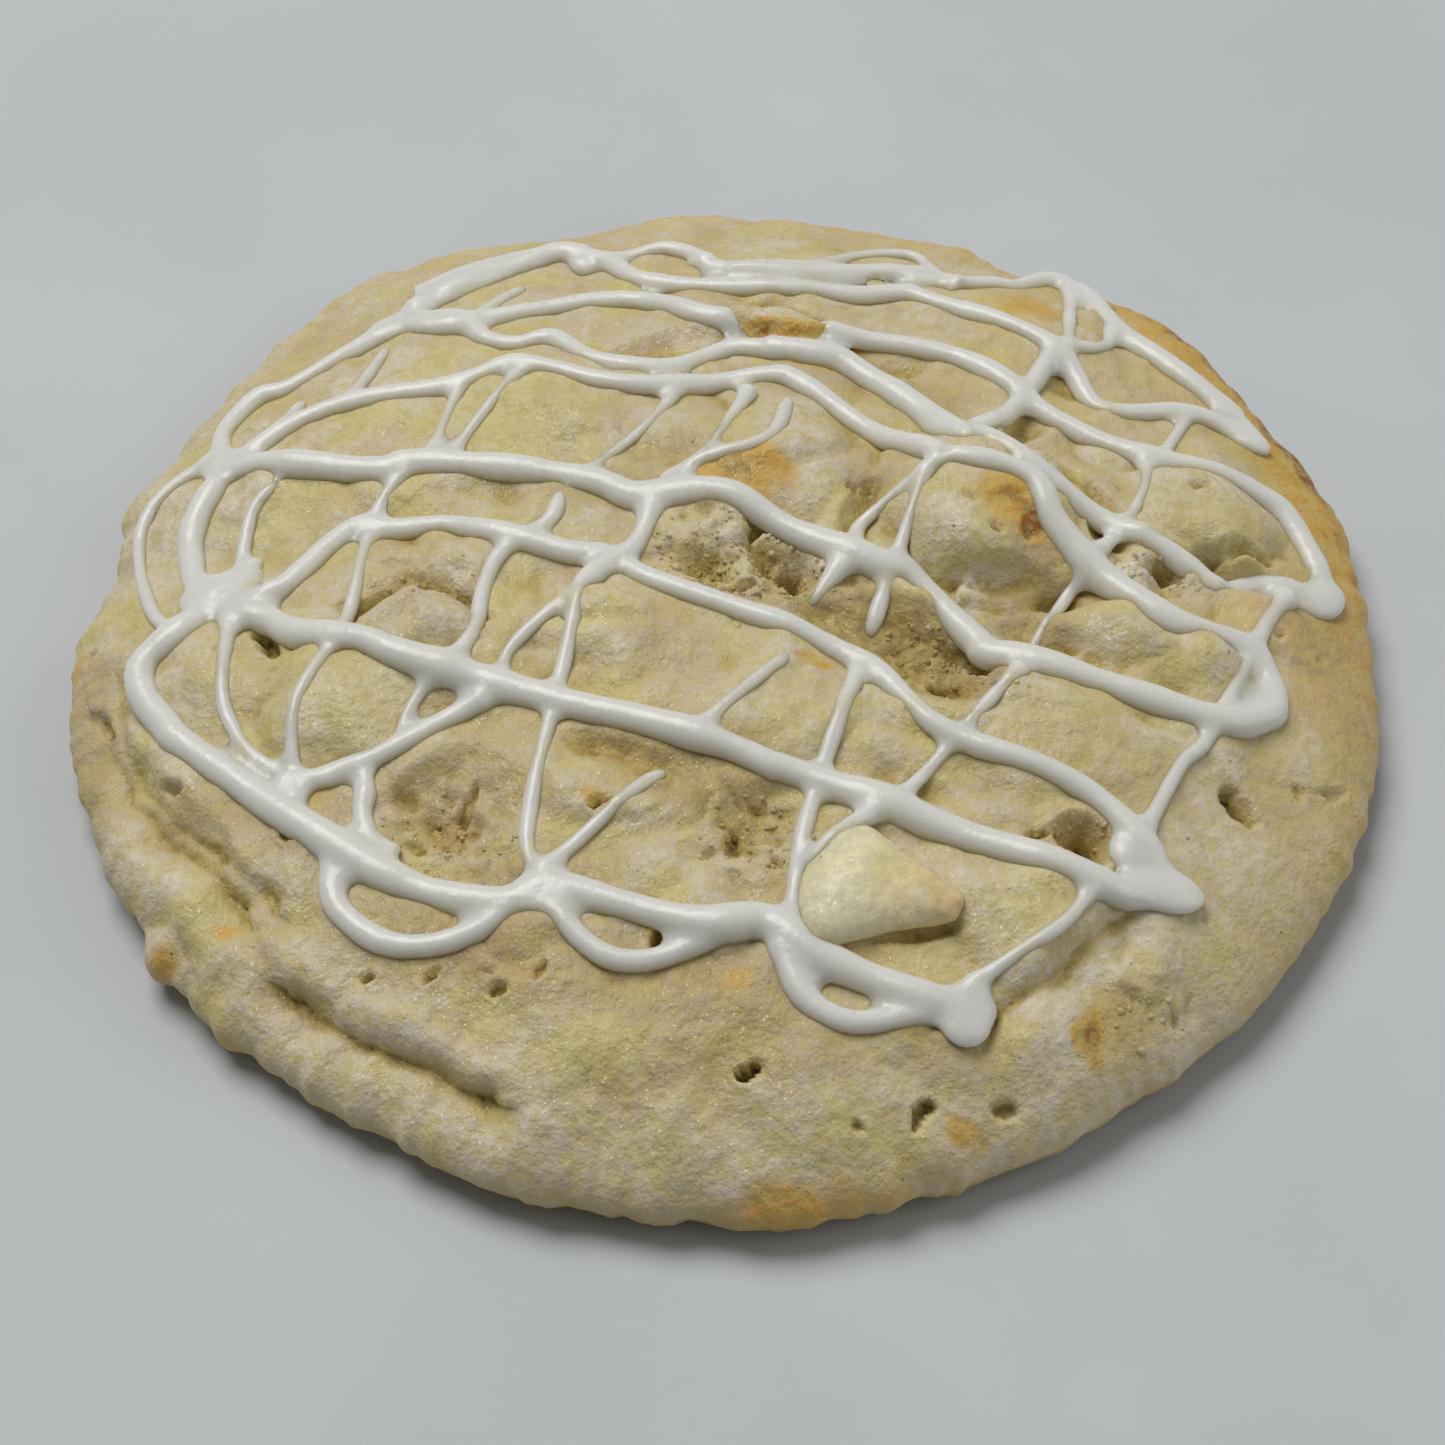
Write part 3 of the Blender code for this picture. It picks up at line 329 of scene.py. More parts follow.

# Darker dough, partly its own tone and partly painted shade: in the cavity below the big lump, in nooks
# under strands and along the rims.
DEEPER_AND_SHADED = [
    (-34, -17, 7, 4.5, -45, 0.6), (-20, -27.5, 10, 4, -30, 0.9), (-3, -32.5, 12, 4.5, -8, 1.2),
    (-31, -37, 17, 5.5, -42, 0.2), (-6, -47, 20, 2.5, -3, 0.4), (4, -2.5, 4.5, 3.4, -20, 0.8),
    (11.5, -7.4, 9.5, 4.8, -30, 1.9), (21, -4.6, 4, 2.4, 0, 1), (23.4, 4, 2.4, 4.5, 10, 0.8),
    (0, 8.5, 8, 2.4, 0, 1), (-2.5, -16.5, 6.5, 4.5, -10, 1.3), (11, 20, 9, 2.8, -15, 0.9),
    (41, 19, 5, 11, 30, 0.8), (43, -1, 4.5, 12, 0, 1.1), (-31, 3, 5, 3, 0, 0.4),
    (-28.5, -18.5, 6.5, 3.8, -40, 0.8), (14, -36.5, 5, 3, -20, 0.8), (-12.5, -10, 4.5, 2.6, -20, 1.2),
    (-33, -38, 9, 3, -48, 0.5), (-9, 8.6, 5, 2.6, 0, 1.2), (-13.5, -25, 8, 3.5, 0, 0.9),
    (4, 20.5, 5, 2.6, -20, 0.9), (18, -3.5, 3.5, 2.4, 0, 0.9), (-44, -9, 3.6, 9, 12, 0.9),
    (-10, -30, 6.5, 3.2, 0, 0.6), (5, -25, 2.6, 5, 0, 0.4), (3, -35.8, 8, 3.2, 0, 1),
    (8, -30, 4, 2.4, -20, 0.8), (-13, 41, 6, 3, 0, 0.6),
]

# Paler dough.
PALER = [
    (22.5, -27.8, 7, 5, 40, 2), (13, -18, 6, 3.5, -20, 0.5), (-10, -3, 5, 7, 20, 0.7),
    (-21, 20, 12, 10, 0, 0.8), (-40, 8, 5, 9, 10, 0.7), (27, 3, 3.5, 4.5, 0, 0.9),
    (16, 3.5, 4.5, 4.5, 0, 1), (7, -0.4, 1.6, 2.4, 0, 1), (25, -38, 12, 5, 35, 0.5),
    (-29, -10, 6, 4, 0, 0.4), (-20, -17.5, 5, 3, 0, 0.5), (9.5, 33, 5, 4, 0, 0.5),
    (13, -24.5, 4, 3, 0, 0.7), (35, -9, 5, 3, 0, 0.6), (7, 10, 3, 4, 10, 0.7), (-13, 0, 4, 4, 0, 0.5),
    (-35, 13, 6, 8, 10, 1.3), (-22, -8.5, 4.5, 3.4, 0, 0.9), (-20, -20.5, 4, 2.6, 0, 0.8),
    (30, -12.5, 6, 3.4, 0, 0.8), (-30, -32, 7, 2.6, -42, 0.2), (-9, -42.5, 9, 2.6, -6, 0.7),
    (12, -40.5, 7, 2.6, 8, 0.7), (9.5, 10.5, 3, 3.4, 0, 1), (5, 1.6, 2.2, 2.2, 0, 1),
    (-36, -12, 4, 5, 30, 0.7), (-30, 2, 5, 9, 0, 0.6),
]

# Sizes in millimetres of what the shaders draw.
SAND_SIZE = 0.26
GRAIN_SIZE = 0.7
FACET_SIZE = 0.19
SPECK_SPACING = 1.6

# How many rounds of averaging a fine crease and a broad valley are found with. Shade is painted into both.
CREASE_ROUNDS = 14
VALLEY_ROUNDS = 110

DOUGH_GLOW = 0.22
DOUGH_LIGHT = (0.60, 0.525, 0.40)
DOUGH_DEEP = (0.54, 0.435, 0.25)
YELLOW_TINT = (0.60, 0.52, 0.205)
# Pinkish-grey, partly painted shade in the cavity and on the lumps' shaded sides.
BLUSH_AND_SHADE_TINT = (0.39, 0.265, 0.165)
# Painted shade in broad valleys.
VALLEY_PAINTED_SHADE = (0.41, 0.29, 0.10)
# Paler spots, and painted light on ridges.
PALE_AND_RIDGE_LIGHT = (0.675, 0.615, 0.505)
BUTTER_TINT = (0.53, 0.435, 0.155)
GOLDEN = (0.60, 0.35, 0.06)
BROWN = (0.27, 0.10, 0.008)
# Painted shade in fine creases.
CREASE_PAINTED_SHADE = (0.34, 0.225, 0.035)
# Darker dough, partly painted shade.
DEEPER_AND_SHADE_TINT = (0.34, 0.235, 0.09)
# Painted shade deep in pits and holes.
HOLE_PAINTED_SHADE = (0.15, 0.085, 0.008)
UNDERSIDE = (0.42, 0.26, 0.10)
SPECK_TINT = (0.16, 0.13, 0.06)
ICING_WHITE = (0.68, 0.685, 0.655)
ICING_STREAK = (0.62, 0.635, 0.605)
ICING_THIN = (0.60, 0.545, 0.36)
CHIP_CREAM = (0.73, 0.69, 0.48)
CHIP_DEEP = (0.68, 0.60, 0.33)
CHIP_TOASTED = (0.66, 0.49, 0.24)
SUGAR_LIGHT = (0.86, 0.82, 0.66)
SUGAR_DEEP = (0.75, 0.68, 0.45)
TABLE_LIGHT = (0.532, 0.563, 0.592)
TABLE_DEEP = (0.488, 0.518, 0.545)


def noise_at(points, size, shift):
    """Smooth noise, about -1 to 1, at each point, with blobs of the given size."""
    move = Vector((shift, shift, shift))
    return np.array([noise.noise(Vector(p) + move) for p in points / size])


def clouds(points, start, *layers):
    """A start value with layers of noise added: strength, size of the blobs, shift."""
    total = start
    for strength, size, shift in layers:
        total = total + strength * noise_at(points, size, shift)
    return total


def billow(points, size, shift):
    """Rounded swellings with creases between them, about -0.4 to 1."""
    return 2 * np.sqrt(noise_at(points, size, shift) ** 2 + 0.008) - 0.55


def on_plan(x, y):
    return np.stack([x, y, 0 * x], -1)


def right_side(x):
    """0 left of the middle, rising to 1 at the right rim."""
    return np.clip((x - 16) / 14, 0, 1)


def outline(angle):
    """Radius of the cookie seen from above."""
    reach = np.full_like(angle, RADIUS)
    for at, half, out in SWELLS:
        away = (np.degrees(angle) - at + 180) % 360 - 180
        reach = reach + out * np.exp(-((away / half) ** 2))
    around = on_plan(np.cos(angle), np.sin(angle)) * RADIUS
    return clouds(around, reach, (0.35, 2.6, 5.3), (0.2, 1.2, 9.1))


def dome_height(share):
    return WIDEST_HEIGHT + (TOP_HEIGHT - WIDEST_HEIGHT) * (1 - share**DOME_FLATNESS) ** DOME_FALL


def dome(x, y):
    """Height of the plain dome over one point of the plan."""
    return float(dome_height(min(math.hypot(x, y) / RADIUS, 1.0)))


def own_axes(x, y, cx, cy, length, width, turn):
    """Position along and across a turned oval, 1 at its edge."""
    c, s = math.cos(math.radians(turn)), math.sin(math.radians(turn))
    return ((x - cx) * c + (y - cy) * s) / length, ((y - cy) * c - (x - cx) * s) / width


def mound(x, y, cx, cy, length, width, turn, height, steepness=1.0):
    """Height of a rounded swelling on a turned oval."""
    u, v = own_axes(x, y, cx, cy, length, width, turn)
    return height * np.clip(1 - u * u - v * v, 0, 1) ** steepness


def gap_and_side(x, y, path):
    """Distance to a path, above zero on its outer side and below zero on its inner one."""
    ends = np.array(path, float)
    best = np.full(np.shape(x), 1e9)
    side = np.ones(np.shape(x))
    for (ax, ay), (bx, by) in zip(ends, ends[1:]):
        length = (bx - ax) ** 2 + (by - ay) ** 2
        share = np.clip(((x - ax) * (bx - ax) + (y - ay) * (by - ay)) / length, 0, 1)
        nx, ny = ax + share * (bx - ax), ay + share * (by - ay)
        away = np.hypot(x - nx, y - ny)
        nearer = away < best
        best = np.where(nearer, away, best)
        side = np.where(nearer, np.where(np.hypot(x, y) > np.hypot(nx, ny), 1.0, -1.0), side)
    return best * side


def relief(x, y):
    """How far the baked surface stands off the plain dome, without its fine crumb."""
    plan = on_plan(x, y)
    wx, wy = clouds(plan, x, (1.6, 5.0, 11.7)), clouds(plan, y, (1.6, 5.0, 31.2))
    ragged_x = clouds(plan, x, (0.35, 1.9, 2.9), (0.5, 4.0, 5.5))
    ragged_y = clouds(plan, y, (0.35, 1.9, 6.1), (0.5, 4.0, 8.5))
    height = clouds(plan, 0, (0.9, 13.0, 3.1), (0.55, 6.0, 7.7))
    for lump in LUMPS:
        height = height + mound(wx, wy, *lump)
    for hollow in HOLLOWS + DIPS:
        height = height - HOLLOWS_DEEPER * mound(wx, wy, *hollow)
    swollen = on_plan(wx, wy)
    calm = 1 - 0.55 * np.clip(np.hypot(x, y) / RADIUS, 0, 1) ** 5
    height = height + 0.5 * billow(swollen, 8.0, 105.0) + 0.5 * calm * billow(swollen, 4.4, 101.0)
    for path, depth, half in CREASES + FINE_CREASES:
        away = gap_and_side(ragged_x, ragged_y, path)
        outer = np.exp(-((np.clip(away, 0, None) / (1.7 * half)) ** 1.4))
        inner = np.exp(-((np.clip(-away, 0, None) / 0.5) ** 1.3))
        lip = np.exp(-(((away + 1.7) / 1.1) ** 2)) + np.exp(-(((away - 3.4) / 1.5) ** 2))
        height = height - 1.35 * depth * np.where(away > 0, outer, inner) + 0.45 * depth * lip
    for *oval, depth in PITS:
        u, v = own_axes(ragged_x, ragged_y, *oval)
        away = np.hypot(u, v) * clouds(plan, 1, (0.35, 0.9, 13.0))
        wall = np.clip((1.2 - away) / 0.4, 0, 1)
        height = height - depth * wall * wall * (3 - 2 * wall) + 0.12 * np.exp(-(((away - 1.6) / 0.4) ** 2))
    return height


def crumb(x, y, rough):
    """The finer crumb: soft bumps everywhere, broken ledges, cracks and pits where it is crumbly."""
    plan = on_plan(x, y)
    bumps = 0.12 * billow(plan, 2.3, 41.0) + 0.075 * billow(plan, 1.1, 43.0)
    bumps = clouds(plan, bumps, (0.05, 0.7, 47.0))
    ledge = clouds(plan, 0, (1, 3.1, 53.0), (0.6, 1.3, 59.0))
    broken = np.clip(ledge * 3.0, -1, 1) * 0.5 + 0.34 * billow(plan, 1.0, 61.0)
    split = np.abs(clouds(plan, 0, (1, 3.0, 63.0), (0.35, 1.0, 65.0)))
    cracks = -0.55 * np.exp(-((split / 0.05) ** 2)) * np.clip(noise_at(plan, 6.0, 69.0) + 0.35, 0, 1)
    pores = np.clip(noise_at(plan, 1.2, 67.0) - 0.45, 0, 1) * -1.4
    sponge = np.clip(noise_at(plan, 1.0, 87.0) - 0.12, 0, 1) * -1.2
    return bumps + rough * (broken + sponge) + cracks * (0.2 + 0.8 * rough) + pores * (0.25 + 0.75 * rough)


def ring_faces(inner, inner_count, inner_turn, outer, outer_count, outer_turn):
    """Triangles between two rings of points, walking both round together."""
    faces, i, j = [], 0, 0
    while i < inner_count or j < outer_count:
        at_inner = (i + 1 + inner_turn) / inner_count
        at_outer = (j + 1 + outer_turn) / outer_count
        a, b = inner + i % inner_count, outer + j % outer_count
        if j < outer_count and (i >= inner_count or at_outer <= at_inner):
            faces.append((a, b, outer + (j + 1) % outer_count))
            j += 1
        else:
            faces.append((a, b, inner + (i + 1) % inner_count))
            i += 1
    return faces


def lathe_faces(first, rows, around):
    """Faces of a closed form of stacked rings whose points start at the given number."""
    faces = []
    for k in range(rows):
        for j in range(around):
            a, b = first + k * around + j, first + k * around + (j + 1) % around
            faces.append((a, b, b + around, a + around))
    faces.append(tuple(range(first + around - 1, first - 1, -1)))
    faces.append(tuple(range(first + rows * around, first + (rows + 1) * around)))
    return faces


def spots(x, y, places):
    """Strength, 0 to 1 or a little over, of soft spots at the given places."""
    plan = on_plan(x, y)
    wx, wy = clouds(plan, x, (0.8, 2.0, 71.0)), clouds(plan, y, (0.8, 2.0, 73.0))
    strength = np.zeros_like(x)
    for place in places:
        strength = np.maximum(strength, mound(wx, wy, *place))
    return strength


def dough_mesh(ring_count, calm=None):
    """Points and faces of the dough and how crumbly it is, calmer where the icing lies."""
    shares = np.linspace(0, 1, 1200)
    heights = dome_height(shares)
    run = np.concatenate([[0], np.cumsum(np.hypot(np.diff(shares) * RADIUS, np.diff(heights)))])
    share = np.interp(np.linspace(0, run[-1], ring_count + 1), run, shares)
    polar, starts = [(0.0, 0.0)], [0]
    for k in range(1, ring_count + 1):
        starts.append(len(polar))
        polar += [(share[k], 2 * math.pi * (j + 0.5 * (k % 2)) / (6 * k)) for j in range(6 * k)]
    level, angle = np.array(polar).T
    reach = outline(angle)
    x, y, z = level * reach * np.cos(angle), level * reach * np.sin(angle), dome_height(level)
    fall = (dome_height(np.clip(level - 1e-3, 0, 1)) - z) / (1e-3 * RADIUS)
    lean = np.stack([fall * np.cos(angle), fall * np.sin(angle), np.ones_like(fall)], -1)
    lean /= np.linalg.norm(lean, axis=1)[:, None]
    rough = np.clip(spots(x, y, CRUMBLY), 0, 1)
    scallop = 0.36 * noise_at(on_plan(x, y), 3.0, 21.0) * np.clip((level - 0.9) / 0.1, 0, 1)
    smooth = 1 - RIGHT_SMOOTHER * right_side(x) * level**8
    x, y = x + scallop * smooth * np.cos(angle), y + scallop * smooth * np.sin(angle)
    still = 1.0 if calm is None else 1 - 0.85 * calm(x, y)
    stand = relief(x, y) * (1 - 0.6 * level**10) + crumb(x, y, rough) * (1 - 0.3 * level**10) * still
    placed = np.stack([x, y, z], -1) + lean * (stand * smooth)[:, None]
    faces = [(0, 1 + j, 1 + (j + 1) % 6) for j in range(6)]
    for k in range(1, ring_count):
        faces += ring_faces(starts[k], 6 * k, 0.5 * (k % 2), starts[k + 1], 6 * (k + 1), 0.5 * ((k + 1) % 2))
    rows, count = [placed], 6 * ring_count
    rim = placed[starts[ring_count]:]
    out = np.hypot(rim[:, 0], rim[:, 1])
    for step in range(1, FOOT_ROWS + 1):
        bend = 0.5 * math.pi * step / FOOT_ROWS
        inward = 1 - FOOT_UNDERCUT * (1 - math.cos(bend)) / out
        row = rim * inward[:, None]
        row[:, 2] = rim[:, 2] * (1 - math.sin(bend))
        rag = clouds(row, 0, (0.4, 2.4, 81.0), (0.2, 1.0, 83.0))
        rag *= 1 - RIGHT_SMOOTHER * right_side(row[:, 0])
        row[:, :2] *= (1 + rag * math.sin(2 * bend) / out)[:, None]
        first = sum(len(r) for r in rows)
        faces += ring_faces(first - count, count, 0, first, count, 0)
        rows.append(row)
    edge = rows[-1]
    for inset, fewer in ((1.0, 600), (3.0, 400), (7.0, 240), (14.0, 120), (26.0, 60), (38.0, 20)):
        first = sum(len(r) for r in rows)
        base = edge[(np.arange(fewer) * count / fewer).astype(int)]
        row = base * (1 - inset / np.hypot(base[:, 0], base[:, 1]))[:, None]
        row[:, 2] = 0.12 + 0.12 * noise_at(row, 4.0, 91.0) if inset > 1 else 0.04
        row[:, 2] = np.clip(row[:, 2], 0.02, None)
        faces += ring_faces(first - len(rows[-1]), len(rows[-1]), 0, first, fewer, 0)
        rows.append(row)
    total = sum(len(r) for r in rows)
    faces.append(tuple(range(total - len(rows[-1]), total)))
    return np.concatenate(rows), faces, len(placed), rough


def curve_through(points, step):
    """Evenly spaced plan points on a smooth curve through the given ones."""
    ends = [2 * Vector(points[0]) - Vector(points[1]), 2 * Vector(points[-1]) - Vector(points[-2])]
    knots = [ends[0], *map(Vector, points), ends[1]]
    fine = []
    for a, b, c, d in zip(knots, knots[1:], knots[2:], knots[3:]):
        square, cube = 2 * a - 5 * b + 4 * c - d, 3 * b - 3 * c + d - a
        for k in range(8):
            t = k / 8
            fine.append(0.5 * (2 * b + (c - a) * t + square * t**2 + cube * t**3))
    fine.append(knots[-2])
    run = [0.0]
    for a, b in zip(fine, fine[1:]):
        run.append(run[-1] + (b - a).length)
    at = np.linspace(0, run[-1], max(3, round(run[-1] / step) + 1))
    return np.stack([np.interp(at, run, [p[k] for p in fine]) for k in (0, 1)], -1)


def surface_of(points, faces):
    return BVHTree.FromPolygons([Vector(p) for p in points], faces)


def seen_on_dough(surface, x, y):
    """The plan point where the sight line through a point of the plain dome meets the dough."""
    aim = Vector((x, y, dome(x, y))) - EYE
    hit = surface.ray_cast(EYE, aim.normalized())[0]
    return (hit.x, hit.y) if hit is not None and abs(hit.y - y) < 4 else (x, y)


def ground_at(surface, x, y):
    """Place and slope of the surface straight below a plan point."""
    hit, normal = surface.ray_cast(Vector((x, y, ABOVE_ALL)), Vector((0, 0, -1)))[:2]
    if hit is None:
        return Vector((x, y, WIDEST_HEIGHT)), Vector((x, y, 0)).normalized()
    return hit, normal


def standing_frame(up, turn):
    """A turned frame whose third axis points up out of the dough."""
    ahead = Vector((math.cos(math.radians(turn)), math.sin(math.radians(turn)), 0))
    ahead = (ahead - ahead.dot(up) * up).normalized()
    return Matrix((ahead, up.cross(ahead), up)).transposed()


def mesh_of(name, points, faces):
    mesh = bpy.data.meshes.new(name)
    mesh.from_pydata([tuple(p) for p in points], [], faces)
    mesh.update()
    return mesh


def new_piece(name, data):
    obj = bpy.data.objects.new(name, data)
    bpy.context.scene.collection.objects.link(obj)
    return obj


def settle(obj):
    """Turns the object and its modifiers into a plain mesh object of the same name."""
    bpy.context.view_layer.update()
    graph = bpy.context.evaluated_depsgraph_get()
    mesh = bpy.data.meshes.new_from_object(obj.evaluated_get(graph))
    name = obj.name
    obj.name = name + " guide"
    bpy.data.objects.remove(obj, do_unlink=True)
    return new_piece(name, mesh)


def vectors_of(items, key):
    flat = np.empty(len(items) * 3)
    items.foreach_get(key, flat)
    return flat.reshape(-1, 3)


def coordinates(mesh):
    return vectors_of(mesh.vertices, "co")


def normals_of(mesh):
    return vectors_of(mesh.vertex_normals, "vector")


def place(mesh, points):
    mesh.vertices.foreach_set("co", np.ascontiguousarray(points).ravel())
    mesh.update()


def give_values(mesh, name, values):
    made = mesh.attributes.new(name, "FLOAT", "POINT")
    made.data.foreach_set("value", np.ascontiguousarray(values, dtype=np.float32))


def hollowness(mesh, points, normals, rounds):
    """How far each point lies below the average of its neighbourhood."""
    edges = np.empty(len(mesh.edges) * 2, dtype=np.int64)
    mesh.edges.foreach_get("vertices", edges)
    a, b = edges.reshape(-1, 2).T
    size = len(points)
    count = np.bincount(a, minlength=size) + np.bincount(b, minlength=size)
    soft = points.copy()
    for _ in range(rounds):
        totals = [np.bincount(a, soft[b, k], size) + np.bincount(b, soft[a, k], size) for k in range(3)]
        soft = np.stack(totals, -1) / count[:, None]
    return ((soft - points) * normals).sum(1)


def finish(obj, material, replaced=None):
    """Brings the piece to metres and the row's frame, gives it its material, shades it smooth and hangs it
    under the root body, hiding the part it replaces.
    """
    obj.data.transform(Matrix.Scale(MM, 4) @ Matrix.Translation(Vector(CENTRE_SHIFT)))
    obj.data.materials.clear()
    obj.data.materials.append(material)
    obj.data.polygons.foreach_set("material_index", np.zeros(len(obj.data.polygons), dtype=np.int32))
    obj.data.shade_smooth()
    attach(obj, "root")
    if replaced:
        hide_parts(replaced)


# Node trees


class Wiring:
    """Short hands for building a node tree."""

    def __init__(self, tree):
        self.tree = tree

    def fill(self, inputs, values):
        """Sets inputs, by name or number, to a value or links them to a socket. None leaves one alone."""
        for key, value in values.items():
            if isinstance(value, bpy.types.NodeSocket):
                self.tree.links.new(value, inputs[key])
            elif value is not None:
                inputs[key].default_value = value

    def node(self, kind, values, **settings):
        made = self.tree.nodes.new(kind)
        for key, value in settings.items():
            setattr(made, key, value)
        self.fill(made.inputs, values)
        return made

    def out(self, kind, values, socket=0, **settings):
        """As node, but gives one of its outputs."""
        return self.node(kind, values, **settings).outputs[socket]

    def math(self, operation, a, b, clamp=False):
        return self.out("ShaderNodeMath", {0: a, 1: b}, operation=operation, use_clamp=clamp)

    def vector(self, operation, a, b=None, scale=None):
        return self.out("ShaderNodeVectorMath", {0: a, 1: b, "Scale": scale}, operation=operation)

    def mix(self, share, a, b, blend="MIX"):
        ends = [end if isinstance(end, bpy.types.NodeSocket) else (*end, 1) for end in (a, b)]
        values = {"Factor": share, 6: ends[0], 7: ends[1]}
        return self.out("ShaderNodeMix", values, 2, data_type="RGBA", blend_type=blend)

    def layers(self, colour, *layers):
        """Colours laid over each other, each with its share."""
        for share, tint in layers:
            colour = self.mix(share, colour, tint)
        return colour

    def steps(self, value, low, high, to_low=0.0, to_high=1.0):
        values = dict(enumerate((value, low, high, to_low, to_high)))
        return self.out("ShaderNodeMapRange", values, interpolation_type="SMOOTHSTEP")

    def cloud(self, where, blob, detail=2.0, rough=0.5):
        """Noise, 0 to 1, with blobs of that many millimetres."""
        values = {"Vector": where, "Scale": 1000 / blob, "Detail": detail, "Roughness": rough}
        return self.out("ShaderNodeTexNoise", values, "Fac")

    def cells(self, where, cell):
        return self.node("ShaderNodeTexVoronoi", {"Vector": where, "Scale": 1000 / cell}).outputs

    def value_of(self, name):
        """A value that the mesh carries at its points."""
        return self.out("ShaderNodeAttribute", {}, "Fac", attribute_name=name)

    def named(self, name):
        """The same in a Geometry Nodes tree."""
        return self.out("GeometryNodeInputNamedAttribute", {"Name": name}, "Attribute", data_type="FLOAT")

    def random(self, values, socket=0, kind="FLOAT_VECTOR"):
        return self.out("FunctionNodeRandomValue", values, socket, data_type=kind)

    def bump(self, height, strength, distance):
        values = {"Strength": strength, "Distance": distance, "Height": height}
        return self.out("ShaderNodeBump", values, "Normal")

    def group(self, tree, **values):
        return self.node("ShaderNodeGroup", values, node_tree=tree).outputs


def new_group(kind, name, ins, outs):
    """A node group with named sockets, each given by its kind or, for a number, by its default."""
    tree = bpy.data.node_groups.new(name, kind)
    for label, given in ins.items():
        typed = given if isinstance(given, str) else {int: "Int", float: "Float"}[type(given)]
        made = tree.interface.new_socket(label, in_out="INPUT", socket_type="NodeSocket" + typed)
        if typed is not given:
            made.default_value = given
    for label, typed in outs.items():
        tree.interface.new_socket(label, in_out="OUTPUT", socket_type="NodeSocket" + typed)
    return Wiring(tree), tree.nodes.new("NodeGroupInput").outputs, tree.nodes.new("NodeGroupOutput").inputs


def geometry_group(name, numbers):
    ins = {"Geometry": "Geometry", **numbers, "Material": "Material"}
    return new_group("GeometryNodeTree", name, ins, {"Geometry": "Geometry"})


def run_tree(obj, tree, **values):
    """Puts the tree on the object with its own values and turns the result into a plain mesh."""
    use = obj.modifiers.new(tree.name, "NODES")
    use.node_group = tree
    for item in tree.interface.items_tree:
        if item.item_type == "SOCKET" and item.in_out == "INPUT" and item.name in values:
            use[item.identifier] = values[item.name]
    return settle(obj)


def finish_tree(w, last, given, wanted):
    """Ends a tree in Realize Instances and Set Material, ruffling the surface if the tree asks for it."""
    made = w.out("GeometryNodeRealizeInstances", {"Geometry": last})
    if "Ruffle" in given:
        cloud = w.out("ShaderNodeTexNoise", {"Scale": 3.6, "Detail": 1.0}, "Color")
        ruffle = w.vector("SCALE", w.vector("SUBTRACT", cloud, (0.5, 0.5, 0.5)), scale=given["Ruffle"])
        made = w.out("GeometryNodeSetPosition", {"Geometry": made, "Offset": ruffle})
    made = w.out("GeometryNodeSetMaterial", {"Geometry": made, "Material": given["Material"]})
    w.fill(wanted, {"Geometry": made})
    return w.tree


def strand_tree():
    """Sweeps a round profile along the strands, scaled by each point's own radius."""
    w, given, wanted = geometry_group("icing strands", {"Profile points": 12})
    ring = w.out("GeometryNodeCurvePrimitiveCircle", {"Radius": 1.0, "Resolution": given["Profile points"]})
    sweep = w.node("GeometryNodeCurveToMesh", {
        "Curve": given["Geometry"], "Profile Curve": ring, "Fill Caps": True})
    if "Scale" in sweep.inputs:
        w.fill(sweep.inputs, {"Scale": w.named("radius")})
    return finish_tree(w, sweep.outputs["Mesh"], given, wanted)


def scatter_tree():
    """Strews small angular grains over a surface, more of them where its density value is high."""
    w, given, wanted = geometry_group("strewn grains", {
        "Per square mm": 1.0, "Least size": 0.1, "Most size": 0.2, "Sink": 0.0, "Ruffle": 0.0,
        "Faceting": 1, "Seed": 1,
    })
    seed = given["Seed"]
    density = w.named("density")
    strew = w.node("GeometryNodeDistributePointsOnFaces", {
        "Mesh": given["Geometry"], "Seed": seed,
        "Density": w.math("MULTIPLY", density, given["Per square mm"])})
    grain = w.out("GeometryNodeMeshIcoSphere", {"Radius": 1.0, "Subdivisions": given["Faceting"]})
    turn = w.random({"Max": (6.28, 6.28, 6.28), "Seed": seed})
    size = w.random({2: given["Least size"], 3: given["Most size"], "Seed": seed}, 1, "FLOAT")
    squash = w.random({"Min": (0.6, 0.6, 0.6), "Max": (1.3, 1.3, 1.3), "Seed": seed})
    down = w.vector("SCALE", strew.outputs["Normal"], scale=w.math("MULTIPLY", size, given["Sink"]))
    sunk = w.out("GeometryNodeSetPosition", {"Geometry": strew.outputs["Points"], "Offset": down})
    put = w.out("GeometryNodeInstanceOnPoints", {
        "Points": sunk, "Instance": grain, "Rotation": turn, "Scale": w.vector("SCALE", squash, scale=size)})
    return finish_tree(w, put, given, wanted)


def sugary_grain_group():
    """Fine baked grain: a height for bump and a mottle."""
    w, given, wanted = new_group("ShaderNodeTree", "sugary grain", {"Place": "Vector", "Coarseness": 1.0},
                                 {"Height": "Float", "Mottle": "Float"})
    where = w.vector("SCALE", given["Place"], scale=w.math("DIVIDE", 1.0, given["Coarseness"]))
    crumbs = w.cloud(where, GRAIN_SIZE, 1.0)
    height = w.math("ADD", w.math("MULTIPLY", w.cloud(where, SAND_SIZE, 1.0, 0.6), 0.5), crumbs)
    w.fill(wanted, {"Height": height, "Mottle": crumbs})
    return w.tree


